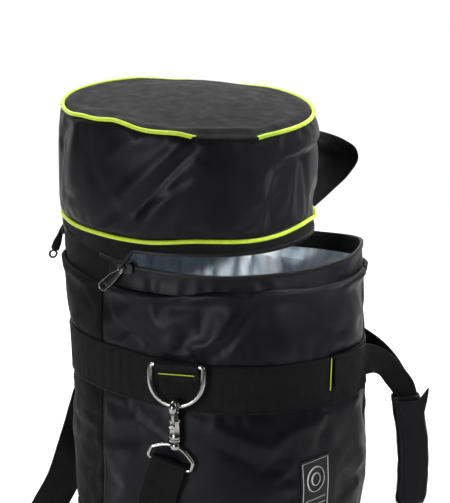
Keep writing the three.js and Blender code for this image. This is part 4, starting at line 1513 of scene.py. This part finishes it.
def d_ring(side, angle):
    place = tilted(Place(angle, out=RING_OUT), RING_LEAN)
    corner = 3.2
    outline = [(x, 0) for x in steps(-RING_HALF + corner, RING_HALF - corner, 12)]
    outline += arc(RING_HALF - corner, -corner, corner, 90, 0, 5)[1:]
    outline += arc(0, RING_HALF - RING_DROP, RING_HALF, 0, -180, 40)
    outline += arc(corner - RING_HALF, -corner, corner, 180, 90, 5)[:-1]
    ring = tube(f"{side}_d_ring", [place(x, y, 0) for x, y in outline], 2.6, True, 16)
    dress(ring, "nickel", f"{side}_ring_body", [f"{side}_strap_ring"])


HOOK_OUT = RING_OUT + RING_DROP * math.sin(RING_LEAN) + 3.3
WIRE_UP = -RING_DROP * math.cos(RING_LEAN)
BARREL_LENGTH = 27


def snap_hook(side, angle):
    place = Place(angle, up=WIRE_UP, out=HOOK_OUT)
    loop = []
    for a in steps(-66, 246, 36):
        up, out = 7.6 * math.sin(math.radians(a)), 8.6 * math.cos(math.radians(a))
        loop.append(place(0, up, out))
    loop = tube(f"{side}_hook_loop", loop, lambda t: 2.5 + 1.5 * bump(t, 0.24, 0.15), sides=14)
    barrel_profile = [
        (0.2, -7.2), (2.6, -7.4), (4, -8.2), (4.3, -9.6), (3.6, -10.6), (3.5, -11.4), (5, -12),
        (5.9, -13.0), (6.0, -14.8), (5.5, -15.6), (5.5, -29), (6.0, -30), (6.0, -31.2), (5.2, -32),
        (5.2, -33), (6.0, -33.8), (6.1, -35.2), (5.2, -36.4), (0.2, -36.5),
    ]
    barrel = lathe(f"{side}_hook_barrel", barrel_profile[::-1], lambda x, y, z: place(x, z, y))
    hook = join(f"{side}_snap_hook_metal", [loop, barrel])
    dress(hook, "nickel", f"{side}_hook_body", [f"{side}_snap_hook"])


def snap_bolt(side, angle):
    """Sprung rod that closes the hook, with a thumb knob on it."""
    place = Place(angle, up=WIRE_UP, out=HOOK_OUT)
    rod = tube(f"{side}_bolt_rod", [place(0, y, 8.2) for y in steps(-19, 1.6, 8)], 1.5, sides=12)
    knob = lathe(
        f"{side}_bolt_knob",
        [(0.2, 13.6), (2.1, 13.5), (3, 12.6), (3, 11.6), (2.1, 10.8), (2.0, 7.2), (0.2, 7.1)][::-1],
        lambda x, y, z: place(x, -17 + y, z),
        20,
    )
    bolt = join(f"{side}_snap_bolt_metal", [rod, knob])
    dress(bolt, "nickel", f"{side}_bolt_body", [f"{side}_snap_bolt"])


EYE_UP = WIRE_UP - 9.5 - BARREL_LENGTH - 0.4 - 3.5


def strap_eye(side, angle, lean):
    hub_place = Place(angle, up=EYE_UP, out=HOOK_OUT)
    place = turned(hub_place, lean)
    arms = [(3, -1.2), (7, -1.6), (12, -3.6), (17, -6.6), (21, -9.6)]
    side_arc = arc(19.4, -12.6, 3.6, 50, 0, 4) + [(23, -15.5)] + arc(19.4, -17.4, 3.6, 0, -90, 5)
    right = arms + side_arc
    bar = [(x, -21) for x in steps(16, -16, 10)]
    outline = right + bar + [(-x, y) for x, y in reversed(right)]
    wire = tube(f"{side}_eye_wire", [place(x, y, 0) for x, y in outline], 2.0, True, 14)
    hub_profile = [
        (0.2, -4.6), (2.6, -4.5), (4.6, -3.4), (5.2, -1.6), (5.2, 1.4), (4.2, 2.6), (3, 3.3), (0.2, 3.4),
    ]
    hub = lathe(f"{side}_eye_hub", hub_profile, lambda x, y, z: hub_place(x, z, y))
    eye = join(f"{side}_strap_eye_metal", [wire, hub])
    dress(eye, "nickel", "bag", [f"{side}_snap_eye"])
    return place


def ring_tab(side, angle):
    """Webbing folded over the bar of the ring and sewn to the band."""
    place = Place(angle, out=RING_OUT)
    inner = RING_WIRE / 2 + 1.1
    section = [(-inner, -17), (-inner, -9), (-inner, -2)]
    section += [(-x, y) for x, y in arc(0, 0, inner, 0, 180, 12)]
    section += [(inner - 1.2, -3.2), (2.2 - inner, -6.4), (1.6 - inner, -9), (1.6 - inner, -17)]
    path = even([place(0, y, x) for x, y in section], RIB_PITCH / 2)
    axis = place.along
    tab = ribbed_strap(f"{side}_ring_tab_webbing", path, lambda t, c, a: axis, 46, 1.5)
    dress(tab, "webbing", "bag", [f"{side}_ring_tab"])


eyes = {}
for side, angle, lean in (("front", FRONT_RING, FRONT_LEAN), ("rear", REAR_RING, REAR_LEAN)):
    d_ring(side, angle)
    snap_hook(side, angle)
    snap_bolt(side, angle)
    eyes[side] = strap_eye(side, angle, lean)
    ring_tab(side, angle)


# --- Shoulder strap ---
def bar_turn(place):
    """Stations of a strap end, up behind the eye's bar, over it and down in front."""
    turn = 4.4
    stations = [
        (-turn + 0.6, 26), (-turn + 0.2, 14), (-turn, 2), (-turn * 0.72, -turn * 0.72), (0, -turn),
        (turn * 0.72, -turn * 0.72), (turn, 2), (turn - 0.2, 14), (turn - 0.6, 28),
    ]
    across = place(1, 0, 0) - place(0, 0, 0)
    return [(place(0, -21 - down, out), across) for out, down in stations]


STRAP_FLOOR = 1.4
ROUTE = [
    ((-63, -142, 140), (1, -0.2, -0.1)),
    ((-68, -145, 100), (1, -0.1, 0)),
    ((-72, -150, 60), (1, 0, 0)),
    ((-75, -158, 26), (1, 0, 0)),
    ((-79, -176, 6), (1, 0.1, 0)),
    ((-86, -195, STRAP_FLOOR), (0.9, 0.3, 0)),
    ((-104, -215, STRAP_FLOOR), (0.6, -0.8, 0)),
    ((-136, -226, STRAP_FLOOR), (0.1, -1, 0)),
    ((-172, -217, STRAP_FLOOR), (-0.4, -0.9, 0)),
    ((-202, -190, STRAP_FLOOR), (-0.75, -0.65, 0)),
    ((-223, -152, STRAP_FLOOR), (-0.9, -0.4, 0)),
    ((-236, -108, STRAP_FLOOR), (-1, -0.2, 0)),
    ((-241, -64, STRAP_FLOOR), (-1, 0, 0)),
    ((-241, -24, STRAP_FLOOR), (-1, 0, 0)),
    ((-239, 6, 4), (-1, 0, 0)),
    ((-231, 29, 16), (-1, -0.1, 0)),
    ((-217, 43, 38), (-0.97, -0.15, -0.2)),
    ((-198, 50, 68), (-0.95, -0.15, -0.3)),
    ((-179, 53, 102), (-0.97, -0.18, -0.2)),
    ((-161, 56, 138), (-0.98, -0.25, -0.12)),
]


def shoulder_strap():
    stations = bar_turn(eyes["front"]) + [(Vector(p), Vector(a)) for p, a in ROUTE]
    stations += bar_turn(eyes["rear"])[::-1]
    path = catmull([p for p, _ in stations], 1100)
    widths = catmull([a for _, a in stations], 1100)
    points = even(path, RIB_PITCH / 2)
    travelled = [0.0]
    for a, b in zip(path, path[1:]):
        travelled.append(travelled[-1] + (b - a).length)
    marks = np.interp(np.linspace(0, travelled[-1], len(points)), travelled, np.arange(len(path)))

    def across(share, centre, along):
        return widths[round(marks[round(share * (len(marks) - 1))])]

    strap = ribbed_strap("shoulder_webbing", points, across, STRAP_WIDTH, STRAP_THICK - 0.4)
    dress(strap, "webbing", "bag", ["shoulder_strap"])


shoulder_strap()


# --- Zip sliders and pulls ---
def mouth_axes(angle, tilt):
    middle = MOUTH_HEIGHT - CHAIN_WIDTH / 2
    origin = body_point(angle, middle, -0.7)
    along = (body_point(angle + 1, middle, -0.7) - body_point(angle - 1, middle, -0.7)).normalized()
    out = along.cross(Vector((RIM_ROLL, math.sin(tilt), math.cos(tilt)))).normalized()
    return origin, along, out.cross(along), out


def plate(name, outline, thick, bevel, put):
    """Flat piece with rounded edges from an outline in its own plane."""
    count = len(outline)
    verts = [put(x, y, z) for z in (-thick / 2, thick / 2) for x, y in outline]
    faces = [tuple(range(count))[::-1], tuple(range(count, 2 * count))]
    faces += [(k, (k + 1) % count, count + (k + 1) % count, count + k) for k in range(count)]
    obj = new_object(name, verts, faces, [(0.0, 0.0)] * len(verts))
    edge = obj.modifiers.new("edge", "BEVEL")
    edge.width = bevel * MM
    edge.segments = 2
    edge.limit_method = "ANGLE"
    edge.angle_limit = math.radians(40)
    settle(obj)
    obj.data.set_sharp_from_angle(angle=math.radians(35))
    return obj


def rounded(width, height, corner, middle=0.0):
    x, y = width / 2 - corner, height / 2 - corner
    upper = arc(x, middle + y, corner, 0, 90, 4) + arc(-x, middle + y, corner, 90, 180, 4)
    lower = arc(-x, middle - y, corner, 180, 270, 4) + arc(x, middle - y, corner, 270, 360, 4)
    return upper + lower


SLIDER_INNER = 4.6 / 2 + 1.5
SLIDER_PLATE = 1.5
SLIDER_TOP = CHAIN_WIDTH / 2 + 0.7
SLIDER_HEIGHT = 11.5
PULL_OUT = SLIDER_INNER + SLIDER_PLATE + 0.5 + 1
PULL_SWING = math.radians(18)
PULL_LENGTH = 36


def zip_slider(side, angle, tilt, lean, twist):
    origin, along, up, out = mouth_axes(angle, tilt)

    def put(x, y, z):
        return origin + along * x + up * y + out * z

    middle = SLIDER_TOP + SLIDER_PLATE - SLIDER_HEIGHT / 2
    offset = SLIDER_INNER + SLIDER_PLATE / 2
    pieces = []
    for name, sign in (("outer", 1), ("inner", -1)):
        outline = rounded(18, SLIDER_HEIGHT, 4, middle)

        def face(x, y, z, side_sign=sign):
            return put(x, y, z + side_sign * offset)

        pieces.append(plate(f"{side}_{name}", outline, SLIDER_PLATE, 0.45, face))
    top = SLIDER_TOP + SLIDER_PLATE / 2
    bridge = rounded(10, 2 * offset, 1.4)

    def across_top(x, y, z):
        return put(x, top + z, y)

    pieces.append(plate(f"{side}_bridge", bridge, SLIDER_PLATE, 0.4, across_top))
    bail = [put(0, y, offset + 0.4 + z) for y, z in arc(-0.4, 0, 3.4, -30, 210, 16)]
    pieces.append(tube(f"{side}_bail", bail, 0.75, sides=10))
    slider = join(f"{side}_zip_slider", pieces)
    dress(slider, "zip_metal", f"{side}_slider_body", [f"{side}_slider"])
    pivot = origin + out * PULL_OUT
    zip_pull(side, pivot, along, up, out, lean, twist)


def zip_pull(side, pivot, along, up, out, lean, twist):
    """Flat dark tab with a thin bright edge and a round eye at its end."""
    turn = Matrix.Rotation(-PULL_SWING, 3, "X") @ Matrix.Rotation(lean, 3, "Z")
    turn = turn @ Matrix.Rotation(twist, 3, "Y")

    def put(x, y, z):
        local = turn @ Vector((x, y, z))
        return pivot + along * local.x + up * local.y + out * local.z

    eye = 1 - PULL_LENGTH + 5
    right = [(2.1, -1.4), (2.5, -8), (4.4, -17), (4.4, eye + 7.4)]
    left = [(-x, y) for x, y in right]
    outline = left + arc(0, eye + 7.4, 4.4, 180, 360, 10)[1:-1] + right[::-1]
    tab = plate(f"{side}_tab", outline, 2.0, 0.5, put)
    eye_path = [put(x, y, 0) for x, y in arc(0, eye, 3.7, 0, 348, 28)]
    ring = tube(f"{side}_eye", eye_path, 1.05, True, 10)
    collar_path = [put(x, y, 0) for x, y in arc(0, -1.2, 1.9, 0, 340, 16)]
    collar = tube(f"{side}_collar", collar_path, 0.8, True, 8)
    pull = join(f"{side}_zip_pull", [tab, ring, collar])
    dress(pull, "zip_metal", f"{side}_pull_body")
    edge = tube(f"{side}_pull_edge", [put(x, y, 0.55) for x, y in edge_path(eye)], 0.4, False, 8)
    dress(edge, "nickel", f"{side}_pull_body", [f"{side}_pull"])


def edge_path(eye):
    """Outline of a pull from one side of its neck, round the eye, to the other."""
    side = [(2.3, -2), (2.7, -8), (4.6, -17), (4.75, eye + 2)]
    return [(-x, y) for x, y in side] + arc(0, eye, 4.75, 170, 370, 20) + side[::-1]


def mouth_angle(turn, front):
    half_width, half_depth, end, _ = SECTIONS[-1][1:]
    if front:
        centre = half_width - end
        side = (centre**2 + half_depth**2 - end**2) / (2 * (half_depth - end))
        x, y = side * math.sin(turn), side - half_depth - side * math.cos(turn)
    else:
        x, y = end - half_width + end * math.cos(turn), end * math.sin(turn)
    return math.degrees(math.atan2(y, x))


zip_slider("front", mouth_angle(math.radians(-27.5), True), -RIM_TILT, math.radians(-40), 0)
REAR_RIM_TILT = math.radians(9.1)
rear_slider_angle = mouth_angle(math.radians(164.5), False)
zip_slider("rear", rear_slider_angle, REAR_RIM_TILT, math.radians(4), math.radians(-50))


# --- Label ---
def slanted(angle, height):
    return height + 0.3 * (angle - 313.5)


def label_patch():
    """Plain patch with a white border, a ring emblem and bars."""
    low, high, start, end = 128, 208, 306, 321
    patch = grid(
        "label_cloth",
        lambda a, h: on_front(a, slanted(a, h), 1.0),
        steps(start, end, 18),
        steps(low, high, 36),
    )
    thicken(patch, 0.8)
    dress(patch, "label", "bag", ["label_patch"])

    def drawn(name, outline, width):
        places = [(lerp(start, end, x), lerp(low, high, y)) for x, y in outline]
        points = [on_front(a, slanted(a, h), 1.25) for a, h in places]
        line = tube(name, points, width, True, 6, 0.35)
        dress(line, "white_print", "bag")

    border = [(x, 0.03) for x in steps(0.06, 0.94, 12)] + [(0.94, y) for y in steps(0.06, 0.97, 24)]
    border += [(x, 0.97) for x in steps(0.9, 0.06, 12)] + [(0.06, y) for y in steps(0.94, 0.06, 24)]
    drawn("label_border", border, 0.7)
    middle_y, round_x = 0.72, 0.3
    for name, size in (("label_ring_outer", 1.0), ("label_ring_inner", 0.5)):
        turns = [2 * math.pi * k / 28 for k in range(28)]
        circle = [
            (0.5 + round_x * size * math.cos(t), middle_y + 0.165 * size * math.sin(t)) for t in turns
        ]
        drawn(name, circle, 1.1)
    for number, y in enumerate((0.46, 0.38, 0.3, 0.16)):
        reach = 0.34 if number < 3 else 0.2
        bar = [(x, y) for x in steps(0.5 - reach, 0.5 + reach, 8)]
        bar += [(x, y - 0.012) for x in steps(0.5 + reach, 0.5 - reach, 8)]
        drawn(f"label_bar_{number}", bar, 0.6)


label_patch()


# --- Stitching ---
def outward_at(angle):
    return Vector((math.cos(math.radians(angle)), math.sin(math.radians(angle)), 0))


def seam_rows():
    dark = []
    for name, angle in (("left_seam", FRONT_SEAM + 1.7), ("right_seam", RIGHT_SEAM - 1.7)):
        heights = steps(12, 383, 120)
        path = [(on_front(shifted(angle, h), h, 0.1), outward_at(angle)) for h in heights]
        dark.append((name, path))
    for band_name, middle in (("upper_band", UPPER_BAND), ("lower_band", LOWER_BAND)):
        for edge, side in (("top", 1), ("foot", -1)):
            height = middle + side * (BAND_WIDTH / 2 - 2.4)
            path = [(band_point(a, height, 2.9), outward_at(a)) for a in steps(0, 360, 360)]
            dark.append((f"{band_name}_{edge}", path))
    turns = steps(217, 545, 320)
    dark.append(("tape_seam", [(tape_point(a, SEAM_HEIGHT + 6, 0), outward_at(a)) for a in turns]))
    for name, path in dark:
        row = stitches(f"{name}_stitches", path)
        dress(row, "webbing", "bag")


seam_rows()


def lime_stitches():
    """Bright bartacks: under each ring's tab and across the ends of the handle."""
    for side, angle in (("front", FRONT_RING), ("rear", REAR_RING)):
        place = Place(angle)
        path = [(place(x, -9.6, RING_OUT - 0.9), place.out) for x in steps(-19.5, 19.5, 24)]
        row = stitches(f"{side}_tab_bartack", path, 1.5, 1.9, 0.62, 0.5)
        dress(row, "lime_piping", "bag")
    for name, sign in (("front", -1), ("rear", 1)):
        for level, middle in (("upper", UPPER_BAND), ("lower", LOWER_BAND)):
            shift = HANDLE_SHIFT if level == "upper" else -HANDLE_SHIFT
            path = []
            for h in steps(-17, 17, 24):
                angle = sign * (36.6 - 0.05 * h)
                path.append((band_point(angle, middle + shift + h, 4.2), outward_at(angle)))
            row = stitches(f"{name}_{level}_handle_bartack", path, 1.5, 1.9, 0.62, 0.4)
            dress(row, "lime_piping", "bag")


lime_stitches()


# --- Floor, backdrop and light ---
FLOOR_RADIUS = 1800
COVE = 900  # radius of the curve at the foot of the backdrop


def stage():
    """Round pale floor, and a white reflector behind the bag that only lights it."""
    floor = grid(
        "floor",
        lambda a, r: outward_at(a) * r - Vector((0, 0, 0.2)),
        [5 * k for k in range(72)],
        steps(0, FLOOR_RADIUS, 12)[:0:-1] + [1],
        wrap=True,
    )
    flip_outward(floor)
    turns = steps(0, math.pi / 2, 16)
    profile = [(FLOOR_RADIUS + COVE * math.sin(t), COVE - COVE * math.cos(t)) for t in turns]
    profile += [(FLOOR_RADIUS + COVE, 2000), (FLOOR_RADIUS + COVE, 4200)]

    def wall(x, row):
        return Vector((x, profile[row][0], profile[row][1] - 0.2))

    backdrop = grid("backdrop", wall, [-5000, 0, 5000], list(range(len(profile))))
    backdrop.visible_camera = False
    for piece in (floor, backdrop):
        piece.data.materials.append(node_material("pale_floor", pale_floor, "Object"))
    world = bpy.data.worlds.new("studio")
    bpy.context.scene.world = world
    world.use_nodes = True
    tree = world.node_tree
    soft = tree.nodes["Background"]
    soft.inputs["Color"].default_value = (0.95, 0.97, 1, 1)
    soft.inputs["Strength"].default_value = 0.03
    white = tree.nodes.new("ShaderNodeBackground")
    white.inputs["Color"].default_value = (1, 1, 1, 1)
    rays = tree.nodes.new("ShaderNodeLightPath")
    mixed = tree.nodes.new("ShaderNodeMixShader")
    tree.links.new(rays.outputs["Is Camera Ray"], mixed.inputs[0])
    tree.links.new(soft.outputs[0], mixed.inputs[1])
    tree.links.new(white.outputs[0], mixed.inputs[2])
    tree.links.new(mixed.outputs[0], tree.nodes["World Output"].inputs["Surface"])
    bpy.context.scene.view_settings.view_transform = "Standard"


def softbox(name, place, target, width, height, power):
    data = bpy.data.lights.new(name, "AREA")
    data.shape = "RECTANGLE"
    data.size = width
    data.size_y = height
    data.energy = power
    light = bpy.data.objects.new(name, data)
    light.location = place
    toward = Vector(target) - Vector(place)
    light.rotation_euler = toward.to_track_quat("-Z", "Y").to_euler()
    bpy.context.scene.collection.objects.link(light)
    return light


stage()
softbox("backdrop_light", (0, 0.9, 2.5), (0, 2.5, 0.4), 3.6, 1.2, 150)
softbox("top_light", (-0.1, 0.2, 2.0), (0, 0, 0.4), 1.2, 0.6, 3)
softbox("key_light", (-1.25, -2.1, 0.95), (0, 0, 0.4), 0.7, 1.2, 30)
softbox("right_light", (2.2, 0.1, 1.3), (0, 0, 0.35), 0.4, 1.2, 5)
mouth_light = softbox("mouth_light", (0.9, -0.9, 0.95), (0.06, 0.09, 0.385), 0.15, 0.15, 0.22)
mouth_light.data.spread = math.radians(14)
